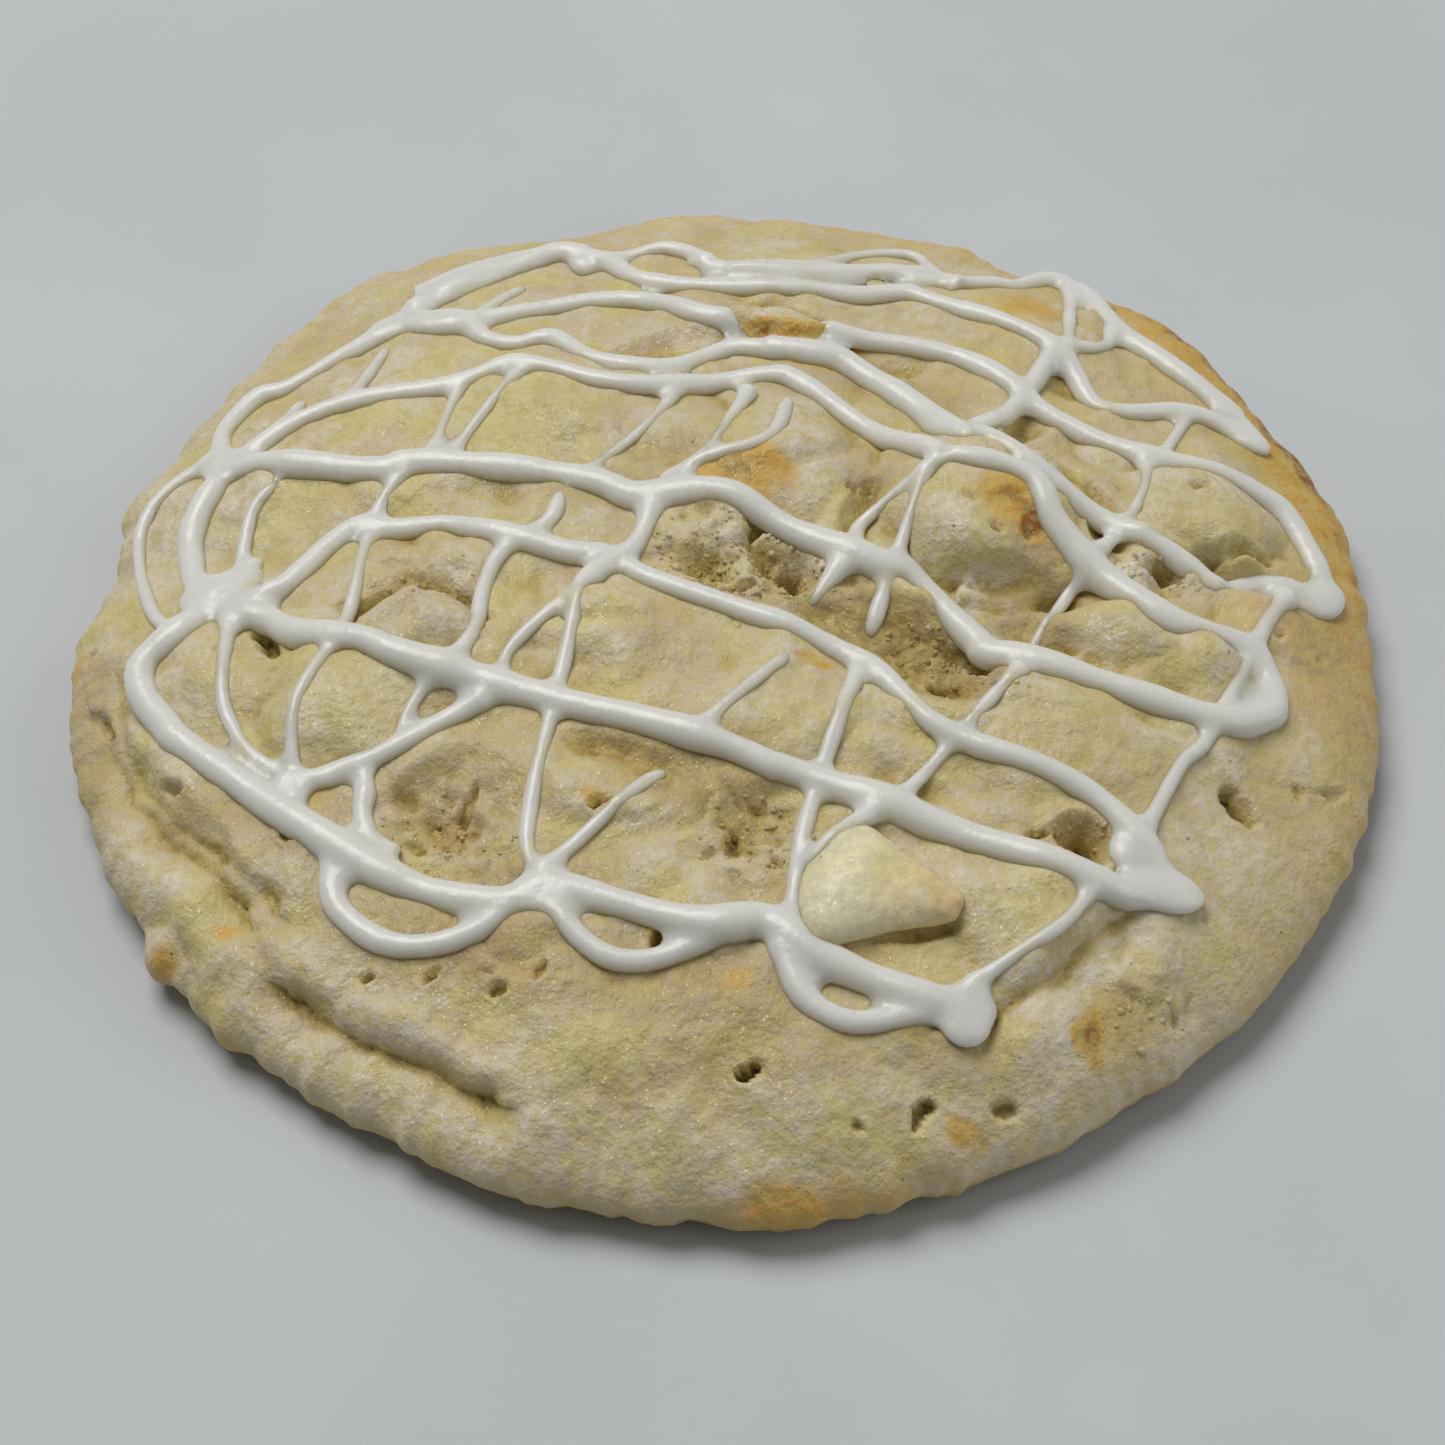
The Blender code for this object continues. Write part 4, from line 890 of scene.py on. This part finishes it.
def sugar_facets_group():
    """Glossy crystal facets: a mask, and the surface normal tilted a different way on each facet."""
    w, given, wanted = new_group(
        "ShaderNodeTree", "sugar facets", {"Place": "Vector", "Normal": "Vector", "Share": 0.3, "Tilt": 0.9},
        {"Normal": "Vector", "Glint": "Float"})
    facets = w.cells(given["Place"], FACET_SIZE)
    chosen = w.math("LESS_THAN", w.out("ShaderNodeSeparateColor", {0: facets["Color"]}), given["Share"])
    glint = w.math("MULTIPLY", chosen, w.math("LESS_THAN", facets["Distance"], 0.42))
    turned = w.vector("SUBTRACT", facets["Color"], (0.25, 0.5, 0.5))
    lean = w.vector("SCALE", turned, scale=w.math("MULTIPLY", glint, given["Tilt"]))
    normal = w.vector("NORMALIZE", w.vector("ADD", given["Normal"], lean))
    w.fill(wanted, {"Normal": normal, "Glint": glint})
    return w.tree


def specks_group():
    """Sparse dark specks, as a mask."""
    w, given, wanted = new_group("ShaderNodeTree", "dark specks", {"Place": "Vector", "Share": 0.05},
                                 {"Mask": "Float"})
    cell = w.cells(given["Place"], SPECK_SPACING)
    chosen = w.math("LESS_THAN", w.out("ShaderNodeSeparateColor", {0: cell["Color"]}, 1), given["Share"])
    w.fill(wanted, {"Mask": w.math("MULTIPLY", chosen, w.steps(cell["Distance"], 0.05, 0.11, 1.0, 0.0))})
    return w.tree


def new_material(name):
    """A material, its wiring, the inputs of its shader, and the place on the piece."""
    made = bpy.data.materials.new(name)
    made.use_nodes = True
    w = Wiring(made.node_tree)
    shader = made.node_tree.nodes["Principled BSDF"].inputs
    return made, w, shader, w.out("ShaderNodeTexCoord", {}, "Object")


def sugared(w, shader, where, groups, grain, relief_of_grain, roughness):
    """Gives a baked surface its grain and its glossy facets."""
    facets = w.group(groups["facets"], Place=where, Share=0.35, Tilt=0.6,
                     Normal=w.bump(grain["Height"], *relief_of_grain))
    rough = w.steps(facets["Glint"], 0.0, 1.0, roughness, 0.16)
    w.fill(shader, {"Roughness": rough, "Normal": facets["Normal"]})


def dough_material(name, groups, glow):
    """Baked dough, coloured by the values that make_dough gives its points."""
    made, w, shader, where = new_material(name)
    grain = w.group(groups["grain"], Place=where, Coarseness=1.0)
    valley, pale_and_shade = w.value_of("valley"), w.value_of("pale_and_shade")
    toast, hollow = w.value_of("toast"), w.value_of("hollow")
    # Painted light on ridges, where the valley measure is below zero, added to the paler spots.
    ridge = w.steps(valley, -0.05, -0.55, 0.0, 0.5)
    pale_and_ridge_light = w.math("ADD", ridge, w.math("MULTIPLY", pale_and_shade, 0.7), clamp=True)
    wide_cloud = w.steps(w.cloud(where, 1.7, 1.0), 0.56, 0.36, 0.0, 0.28)
    butter = w.math("ADD", w.steps(grain["Mottle"], 0.58, 0.4, 0.0, 0.4), wide_cloud)
    dots = w.group(groups["specks"], Place=where, Share=0.05)["Mask"]
    colour = w.mix(w.value_of("deep"), DOUGH_LIGHT, DOUGH_DEEP)
    colour = w.layers(
        colour,
        (pale_and_ridge_light, PALE_AND_RIDGE_LIGHT),
        # Painted shade in the broad valleys.
        (w.steps(valley, 0.05, 0.7, 0.0, 0.75), VALLEY_PAINTED_SHADE),
        (w.math("MULTIPLY", w.value_of("yellow"), 0.95, clamp=True), YELLOW_TINT),
        # Pinkish-grey tone, partly painted shade in the cavity below the big lump and on the lumps' shaded
        # sides.
        (w.math("MULTIPLY", w.value_of("blush_and_shade"), 0.5, clamp=True), BLUSH_AND_SHADE_TINT),
        # Darker where the darker spots lie, partly painted shade.
        (w.math("MULTIPLY", pale_and_shade, -0.6, clamp=True), DEEPER_AND_SHADE_TINT),
        # Golden and brown from the toast, which also holds the painted golden shade of two spots.
        (w.steps(toast, 0.05, 0.7), GOLDEN),
        (w.steps(toast, 0.6, 1.25), BROWN),
        # Painted shade in fine creases, and darker painted shade deep in pits and holes.
        (w.steps(hollow, 0.08, 0.32, 0.0, 0.7), CREASE_PAINTED_SHADE),
        (w.steps(hollow, 0.3, 0.75, 0.0, 0.95), HOLE_PAINTED_SHADE),
        (w.value_of("under"), UNDERSIDE),
        (butter, BUTTER_TINT),
        (w.math("MULTIPLY", dots, 0.75), SPECK_TINT),
    )
    w.fill(shader, {"Base Color": colour, "Specular IOR Level": 0.42})
    sugared(w, shader, where, groups, grain, (0.55, 0.0003), 0.55)
    if glow:
        w.fill(shader, {"Subsurface Weight": glow, "Subsurface Radius": (1.0, 0.62, 0.28),
                        "Subsurface Scale": 0.0008})
    return made


def icing_material():
    made, w, shader, where = new_material("glossy white icing")
    streak = w.steps(w.cloud(where, 3.0), 0.35, 0.7, 0.0, 0.12)
    w.fill(shader, {
        "Base Color": w.layers(ICING_WHITE, (streak, ICING_STREAK), (w.value_of("thin"), ICING_THIN)),
        "Roughness": w.steps(w.cloud(where, 1.1), 0.3, 0.7, 0.26, 0.38),
        "Normal": w.bump(w.cloud(where, 0.7), 0.3, 0.0002),
        "Subsurface Weight": 0.9, "Subsurface Radius": (1.0, 0.95, 0.8), "Subsurface Scale": 0.0021,
        "Specular IOR Level": 0.5})
    return made


def chip_material(groups):
    made, w, shader, where = new_material("baked white chip")
    grain = w.group(groups["grain"], Place=where, Coarseness=1.2)
    toast = w.math("MULTIPLY", w.value_of("toast"), w.steps(w.cloud(where, 0.9, 3.0), 0.3, 0.7, 0.7, 1.2))
    colour = w.layers(CHIP_CREAM, (w.steps(w.cloud(where, 4.0), 0.35, 0.7), CHIP_DEEP),
                      (w.steps(toast, 0.05, 1.0, 0.0, 0.85), CHIP_TOASTED))
    mottle = w.steps(grain["Mottle"], 0.3, 0.7, 0.92, 1.07)
    shade = w.out("ShaderNodeCombineColor", {0: mottle, 1: mottle, 2: mottle})
    colour = w.mix(1.0, colour, shade, "MULTIPLY")
    dots = w.group(groups["specks"], Place=where, Share=0.07)["Mask"]
    w.fill(shader, {
        "Base Color": w.mix(w.math("MULTIPLY", dots, 0.7), colour, SPECK_TINT),
        "Subsurface Weight": 0.45, "Subsurface Radius": (1.0, 0.8, 0.4), "Subsurface Scale": 0.0014})
    sugared(w, shader, where, groups, grain, (0.4, 0.0002), 0.5)
    return made


def sugar_material():
    made, w, shader, where = new_material("sugar grain")
    w.fill(shader, {
        "Base Color": w.mix(w.steps(w.cloud(where, 0.6), 0.3, 0.7), SUGAR_LIGHT, SUGAR_DEEP),
        "Roughness": w.steps(w.cloud(where, 0.3, 1.0), 0.3, 0.7, 0.12, 0.27)})
    return made


def floor_material():
    made, w, shader, where = new_material("pale plaster table")
    w.fill(shader, {
        "Base Color": w.mix(w.steps(w.cloud(where, 45.0, 4.0), 0.3, 0.7), TABLE_DEEP, TABLE_LIGHT),
        "Roughness": 0.7,
        "Normal": w.bump(w.cloud(where, 1.2, 3.0), 0.08, 0.0003)})
    return made


# Pieces


def seen_icing(surface, x, y):
    """As seen_on_dough, but nearer the camera, because icing stands above the dough that it lies on."""
    front_left = math.exp(-(((x + 25) / 11) ** 2) - (((y + 21) / 10) ** 2))
    front_middle = math.exp(-(((x + 10) / 10) ** 2) - (((y + 30) / 6) ** 2))
    right = math.exp(-(((x - 23) / 10) ** 2) - (((y + 1) / 8) ** 2))
    back = min(1.0, max(0.0, (y + 17) / 15))
    front_right = min(1.0, max(0.0, x / 16)) * min(1.0, max(0.0, (-y - 8) / 10))
    along = 0.65 * front_left + 0.5 * front_middle - 0.35 * right
    nearer = 0.62 * back + 1.0 * front_left - 0.4 * front_right
    return seen_on_dough(surface, x + along, y - nearer)


def calm_near_strands(rough_surface):
    """A function of plan points that is 1 below a strand and fades to 0 beside it."""
    laid = []
    for width, path in STRANDS + THREADS + FINE_THREADS:
        plan = curve_through([seen_icing(rough_surface, *p) for p in path], 0.4)
        laid += [(px, py, 0.5 * width) for px, py in plan]
    for px, py, length, width, _ in POOLS + WEBS:
        laid.append((*seen_icing(rough_surface, px, py), 0.5 * (length + width)))
    tree = KDTree(len(laid))
    for number, (px, py, _) in enumerate(laid):
        tree.insert((px, py, 0), number)
    tree.balance()

    def calm(x, y):
        beside = np.empty(len(x))
        for k, (px, py) in enumerate(zip(x, y)):
            _, number, away = tree.find((px, py, 0))
            beside[k] = away - laid[number][2]
        return np.clip(1 - beside / CALM_BESIDE, 0, 1)

    return calm


def make_dough():
    """The fine dough, with the values that its look reads at each point, and its surface for rays."""
    points, faces, _, _ = dough_mesh(COARSE_RINGS)
    points, faces, top_count, rough = dough_mesh(DOUGH_RINGS, calm_near_strands(surface_of(points, faces)))
    mesh = mesh_of("dough", points, faces)
    normals = normals_of(mesh)
    if (normals[:top_count, 2]).mean() < 0:
        mesh.flip_normals()
        normals = normals_of(mesh)
    surface = surface_of(points, faces)
    x, y, z = points.T
    rim = np.hypot(x, y) / outline(np.arctan2(y, x))
    angle = np.degrees(np.arctan2(y, x))
    low = np.clip((3.2 - z) / 3.2, 0, 1)
    on_top = normals[:, 2] > -0.4

    def seen_spots(places):
        return spots(x, y, [(*seen_on_dough(surface, px, py), *rest) for px, py, *rest in places])

    def toward(middle, half, power):
        return np.exp(-(((angle - middle) / half) ** power))

    def from_rim(start, full):
        return np.clip((rim - start) / full, 0, 1)

    back_right = toward(31, 32, 4) * from_rim(0.85, 0.1)
    brown_line = toward(30, 30, 4) * from_rim(0.935, 0.04)
    brown_line *= np.clip(clouds(points, 1.0, (0.9, 4.0, 99.0)), 0.45, 1.5)
    back = toward(85, 45, 2) * from_rim(0.86, 0.1)
    edge = from_rim(0.84, 0.16)
    # The toast is real browning, plus painted golden shade from two of its spots.
    toast = seen_spots(TOAST_AND_SHADE_SPOTS) * on_top
    toast = np.maximum(toast, np.maximum(0.75 * back_right, 1.05 * brown_line))
    toast = np.maximum(toast, (0.13 + 0.3 * toward(5, 40, 2)) * edge + 0.3 * back + 0.7 * low**1.3)
    faint_yellow = 0.75 * np.clip(clouds(points, 0, (2.2, 4.0, 57.0), (0.9, 1.5, 58.0)) - 0.1, 0, 1)
    faint_blush = 0.55 * np.clip(clouds(points, 0, (2.2, 3.2, 77.0), (0.9, 1.3, 78.0)) - 0.25, 0, 1)
    facing_down = np.clip(-normals[:, 2] * 1.5 - 0.3, 0, 1)
    patchy = clouds(points, 0.8, (0.3, 2.6, 95.0), (0.2, 1.0, 96.0))
    cloudy = clouds(points, 0, (1, 9.0, 17.0), (0.6, 4.0, 27.0), (0.4, 1.8, 37.0))
    all_rough = np.zeros(len(points))
    all_rough[:top_count] = rough
    for name, values in {
        "toast": toast * clouds(points, 1, (0.3, 1.4, 91.0), (0.2, 0.6, 93.0)),
        "yellow": np.maximum(seen_spots(YELLOW) * on_top, faint_yellow),
        # Pinkish-grey places, partly painted shade.
        "blush_and_shade": np.maximum(seen_spots(BLUSHED_AND_SHADED) * on_top, faint_blush),
        "under": np.clip(facing_down + 0.5 * low**1.5, 0, 1) * patchy,
        # How far a point lies below its near neighbourhood, for painted shade in creases and pits.
        "hollow": np.clip(hollowness(mesh, points, normals, CREASE_ROUNDS), 0, None) * on_top,
        # How far a point lies below its broad neighbourhood, for painted valley shade and ridge light.
        "valley": hollowness(mesh, points, normals, VALLEY_ROUNDS) * on_top,
        # Paler spots minus darker spots; the darker ones are partly painted shade.
        "pale_and_shade": (seen_spots(PALER) - seen_spots(DEEPER_AND_SHADED)) * on_top,
        "deep": np.clip(0.5 + 1.1 * cloudy, 0, 1),
        "density": all_rough**1.5 * (normals[:, 2] > 0.1),
    }.items():
        give_values(mesh, name, values)
    return new_piece("baked_dough", mesh), surface


def normal_of_dome(x, y):
    step = 0.5
    slope_x, slope_y = dome(x - step, y) - dome(x + step, y), dome(x, y - step) - dome(x, y + step)
    return Vector((slope_x, slope_y, 2 * step)).normalized()


def make_chip(surface):
    hit = ground_at(surface, *CHIP_CENTRE)[0]
    stand = standing_frame((normal_of_dome(*CHIP_CENTRE) + Vector((0, 0, 2))).normalized(), CHIP_TURN)
    points = []
    around, rows = 84, 60
    for k in range(rows + 1):
        turn = math.pi * (0.01 + 0.98 * k / rows)
        along = -math.cos(turn)
        reach = CHIP_REACH_TO_TIP if along > 0 else CHIP_REACH_BACK
        slope = 0.5 + 0.5 * along
        narrower = slope * slope * (3 - 2 * slope)
        full = math.sin(turn) ** (1 - 0.5 * narrower)
        wide = full * CHIP_HALF_WIDTH * (1.14 - 0.74 * narrower)
        tall = full * CHIP_HALF_HEIGHT * (1.04 - 0.46 * narrower)
        round_off = 1.9 - 0.2 * narrower
        for j in range(around):
            angle = 2 * math.pi * j / around
            across, up = math.cos(angle), math.sin(angle)
            ridge = (abs(across) ** round_off + abs(up) ** round_off) ** (-1 / round_off)
            fuller = 1.5 - 0.2 * narrower if across < 0 else 1.06
            points.append(Vector((
                along * reach,
                wide * across * ridge * fuller - 0.5 * narrower,
                tall * up * ridge + CHIP_LIFT + 0.45 * narrower,
            )))
    local = np.array(points)
    dents = clouds(local, 0, (0.2, 2.6, 5.0), (0.1, 1.0, 8.0), (0.05, 0.5, 3.0))
    outward = local / np.array([CHIP_REACH_BACK**2, CHIP_HALF_WIDTH**2, CHIP_HALF_HEIGHT**2])
    outward /= np.linalg.norm(outward, axis=1)[:, None]
    local += outward * (dents - 0.12)[:, None]
    placed = np.array([hit + stand @ Vector(p) for p in local])
    chip = new_piece("white_chip_baked", mesh_of("chip", placed, lathe_faces(0, rows, around)))
    uneven = clouds(local, 0.75, (0.5, 1.6, 4.0))
    give_values(chip.data, "toast", np.clip((local[:, 0] + 0.6) / 4.6, 0, 1) * uneven)
    return chip


def strand_points(surface, path, width, seed, main_paths, crossings):
    """Places and radii along one strand, flaring where it joins a main one and tapering at a free end."""
    step = STRAND_STEP
    plan = curve_through([seen_icing(surface, *p) for p in path], step)
    ground = [ground_at(surface, x, y) for x, y in plan]
    heights = np.array([hit.z for hit, _ in ground])
    own = heights.copy()
    for _ in range(int(14 / step)):
        heights[1:-1] = (heights[:-2] + 2 * heights[1:-1] + heights[2:]) / 4
    heights = np.maximum(heights, own - 0.25 * width)
    ups = np.array([tuple(normal) for _, normal in ground])
    for _ in range(int(6 / step)):
        ups[1:-1] = (ups[:-2] + 2 * ups[1:-1] + ups[2:]) / 4
    ups /= np.linalg.norm(ups, axis=1)[:, None]
    places, radii, count = [], [], len(plan)
    joins = [
        any(np.hypot(*(other - end).T).min() < JOINS_WITHIN for other in main_paths)
        for end in (plan[0], plan[-1])
    ]
    crust_x, crust_y, crust_length, crust_width = CRUST
    move = Vector((seed, 0, 0))
    for k in range(count):
        middle = Vector((*plan[k], heights[k])) + Vector(ups[k]) * (-0.02 * width)
        across, along = (middle.x - crust_x) / crust_length, (middle.y - crust_y) / crust_width
        middle.z -= CRUST_DIP * max(0.0, 1 - across * across - along * along) ** 0.5
        swell = 1 + 0.24 * noise.noise(middle / 5.5 + move) + 0.08 * noise.noise(middle / 2.4 + move)
        for x, y in crossings:
            swell += 0.14 * math.exp(-(((middle.x - x) ** 2 + (middle.y - y) ** 2) / 3.2))
        for away, joined in ((k * step, joins[0]), ((count - 1 - k) * step, joins[1])):
            if joined:
                swell *= 1 + 0.55 * math.exp(-((away / 1.1) ** 2)) * (width < 1.6)
            else:
                swell *= 0.35 + 0.65 * min(1.0, away / (1.1 * width)) ** 0.5
        places.append(middle)
        radii.append(0.5 * width * swell)
    return plan, places, radii


class Both:
    """Dough and chip together, whichever a ray meets first."""

    def __init__(self, dough, chip):
        self.dough, self.chip = dough, chip

    def ray_cast(self, start, direction):
        first, second = self.dough.ray_cast(start, direction), self.chip.ray_cast(start, direction)
        if first[0] is None or (second[0] is not None and second[3] < first[3]):
            return second
        return first


def lay_strands(both, material):
    """Main strands first, then threads, which flare where they join a main strand."""
    curve = bpy.data.curves.new("strands", "CURVE")
    curve.dimensions = "3D"
    main_paths = []
    crossings = [seen_icing(both, *end) for _, path in THREADS for end in (path[0], path[-1])]
    for group, wider, first_seed, joined, crossed, laid in (
        (STRANDS, STRANDS_WIDER, 0, [], crossings, main_paths),
        (THREADS + FINE_THREADS, THREADS_WIDER, 50, main_paths, [], []),
    ):
        for number, (width, path) in enumerate(group):
            seed = number * 3.7 + first_seed
            plan, places, radii = strand_points(both, path, width * wider, seed, joined, crossed)
            laid.append(plan)
            spline = curve.splines.new("POLY")
            spline.points.add(len(places) - 1)
            for point, centre, radius in zip(spline.points, places, radii):
                point.co = (*centre, 1)
                point.radius = radius
    strands = new_piece("icing_drizzle", curve)
    return run_tree(strands, strand_tree(), Material=material, **{"Profile points": 12})


def lay_pools(both):
    points, faces = [], []
    rows, around = 12, 24
    for px, py, length, width, turn in POOLS + WEBS:
        hit, normal = ground_at(both, *seen_icing(both, px, py))
        stand = standing_frame((normal + Vector((0, 0, 1))).normalized(), turn)
        faces += lathe_faces(len(points), rows, around)
        for k in range(rows + 1):
            lift = math.pi * (-0.5 + (0.02 + 0.96 * k / rows))
            for j in range(around):
                angle = 2 * math.pi * j / around
                points.append(hit + stand @ Vector((
                    length * math.cos(lift) * math.cos(angle),
                    width * math.cos(lift) * math.sin(angle),
                    0.05 + 0.85 * math.sin(lift),
                )))
    return mesh_of("pools", points, faces)


def reskin(obj):
    """One closed skin round everything in the object."""
    skin = obj.modifiers.new("skin", "REMESH")
    skin.mode = "VOXEL"
    skin.voxel_size = ICING_VOXEL
    return settle(obj)


def make_drizzle(surface, chip, material):
    chip_faces = [tuple(f.vertices) for f in chip.data.polygons]
    both = Both(surface, surface_of(coordinates(chip.data), chip_faces))
    strands = lay_strands(both, material)
    pools = lay_pools(both)
    merged = np.concatenate([coordinates(strands.data), coordinates(pools)])
    offset = len(strands.data.vertices)
    faces = [tuple(f.vertices) for f in strands.data.polygons]
    faces += [tuple(offset + i for i in f.vertices) for f in pools.polygons]
    bpy.data.objects.remove(strands, do_unlink=True)

    # Flowing together: swollen, made one skin, then drawn back, which rounds every inner corner.
    flow = reskin(new_piece("icing_drizzle", mesh_of("drizzle", merged, faces)))
    place(flow.data, coordinates(flow.data) + normals_of(flow.data) * FLOW)
    flow = reskin(flow)
    place(flow.data, coordinates(flow.data) - normals_of(flow.data) * FLOW)
    points = coordinates(flow.data)
    joins = flow.vertex_groups.new(name="joins")
    reached = np.zeros(len(points), bool)
    for px, py, length, _, _ in POOLS:
        x, y = seen_icing(both, px, py)
        reached |= np.hypot(points[:, 0] - x, points[:, 1] - y) < 0.8 * length + 0.4
    joins.add([int(i) for i in np.nonzero(reached)[0]], 1.0, "REPLACE")
    for where, rounds in (("", 12), ("joins", 45)):
        soften = flow.modifiers.new("soften", "SMOOTH")
        soften.vertex_group = where
        soften.factor = 0.5
        soften.iterations = rounds
    flow = settle(flow)
    triangles = sum(len(f.vertices) - 2 for f in flow.data.polygons)
    fewer = flow.modifiers.new("fewer", "DECIMATE")
    fewer.ratio = min(1.0, ICING_TRIANGLES / triangles)
    flow = settle(flow)

    above = []
    for x, y, z in coordinates(flow.data):
        hit = both.ray_cast(Vector((x, y, ABOVE_ALL)), Vector((0, 0, -1)))[0]
        above.append(z - hit.z if hit is not None else 0.0)
    give_values(flow.data, "thin", np.clip(1 - (np.array(above) + 0.05) / 0.65, 0, 1))
    return flow


def area_light(name, place_m, size, watts, colour):
    """A round light that faces the cookie."""
    data = bpy.data.lights.new(name, "AREA")
    data.shape = "DISK"
    data.size = size
    data.energy = watts
    data.color = colour
    light = new_piece(name, data)
    light.location = place_m
    light.rotation_euler = (-Vector(place_m)).to_track_quat("-Z", "Y").to_euler()


def make_setting():
    scene = bpy.context.scene
    corners = [(-3, -3, 0), (3, -3, 0), (3, 3, 0), (-3, 3, 0)]
    floor = new_piece("floor", mesh_of("floor", corners, [(0, 1, 2, 3)]))
    floor.location.z = -0.00003
    floor.data.materials.append(floor_material())
    area_light("window", *WINDOW)
    area_light("fill", *FILL)
    world = bpy.data.worlds.new("soft room")
    world.use_nodes = True
    background = world.node_tree.nodes["Background"].inputs
    background["Color"].default_value = ROOM_COLOUR
    background["Strength"].default_value = ROOM_STRENGTH
    scene.world = world
    camera = bpy.data.cameras.new("camera")
    camera.lens = LENS
    camera.sensor_width = 36
    camera.clip_start = 0.005
    eye = new_piece("camera", camera)
    eye.location = (EYE + Vector(CENTRE_SHIFT)) * MM
    eye.rotation_euler = (math.radians(90 - LOOKS_DOWN), 0, 0)
    scene.camera = eye
    scene.view_settings.view_transform = "Standard"


make_setting()
groups = {"grain": sugary_grain_group(), "facets": sugar_facets_group(), "specks": specks_group()}
dough_look = dough_material("pale sugary dough", groups, DOUGH_GLOW)
crumb_look = dough_material("loose dough crumb", groups, 0.0)
icing_look = icing_material()
sugar_look = sugar_material()
dough, dough_surface = make_dough()
chip = make_chip(dough_surface)
drizzle = make_drizzle(dough_surface, chip, icing_look)
grains = scatter_tree()
crumbs = run_tree(new_piece("crumb_flakes", dough.data.copy()), grains, Material=crumb_look, **{
    "Per square mm": 2.2, "Least size": 0.1, "Most size": 0.34, "Sink": -0.4, "Ruffle": 0.4, "Seed": 7})
sugar = run_tree(new_piece("sugar_grains", dough.data.copy()), grains, Material=sugar_look, **{
    "Per square mm": 1.2, "Least size": 0.03, "Most size": 0.065, "Sink": -0.3, "Seed": 11})

finish(dough, dough_look, "cookie")
finish(drizzle, icing_look, "cookie")
finish(chip, chip_material(groups), "white_chip")
finish(crumbs, crumb_look)
finish(sugar, sugar_look)
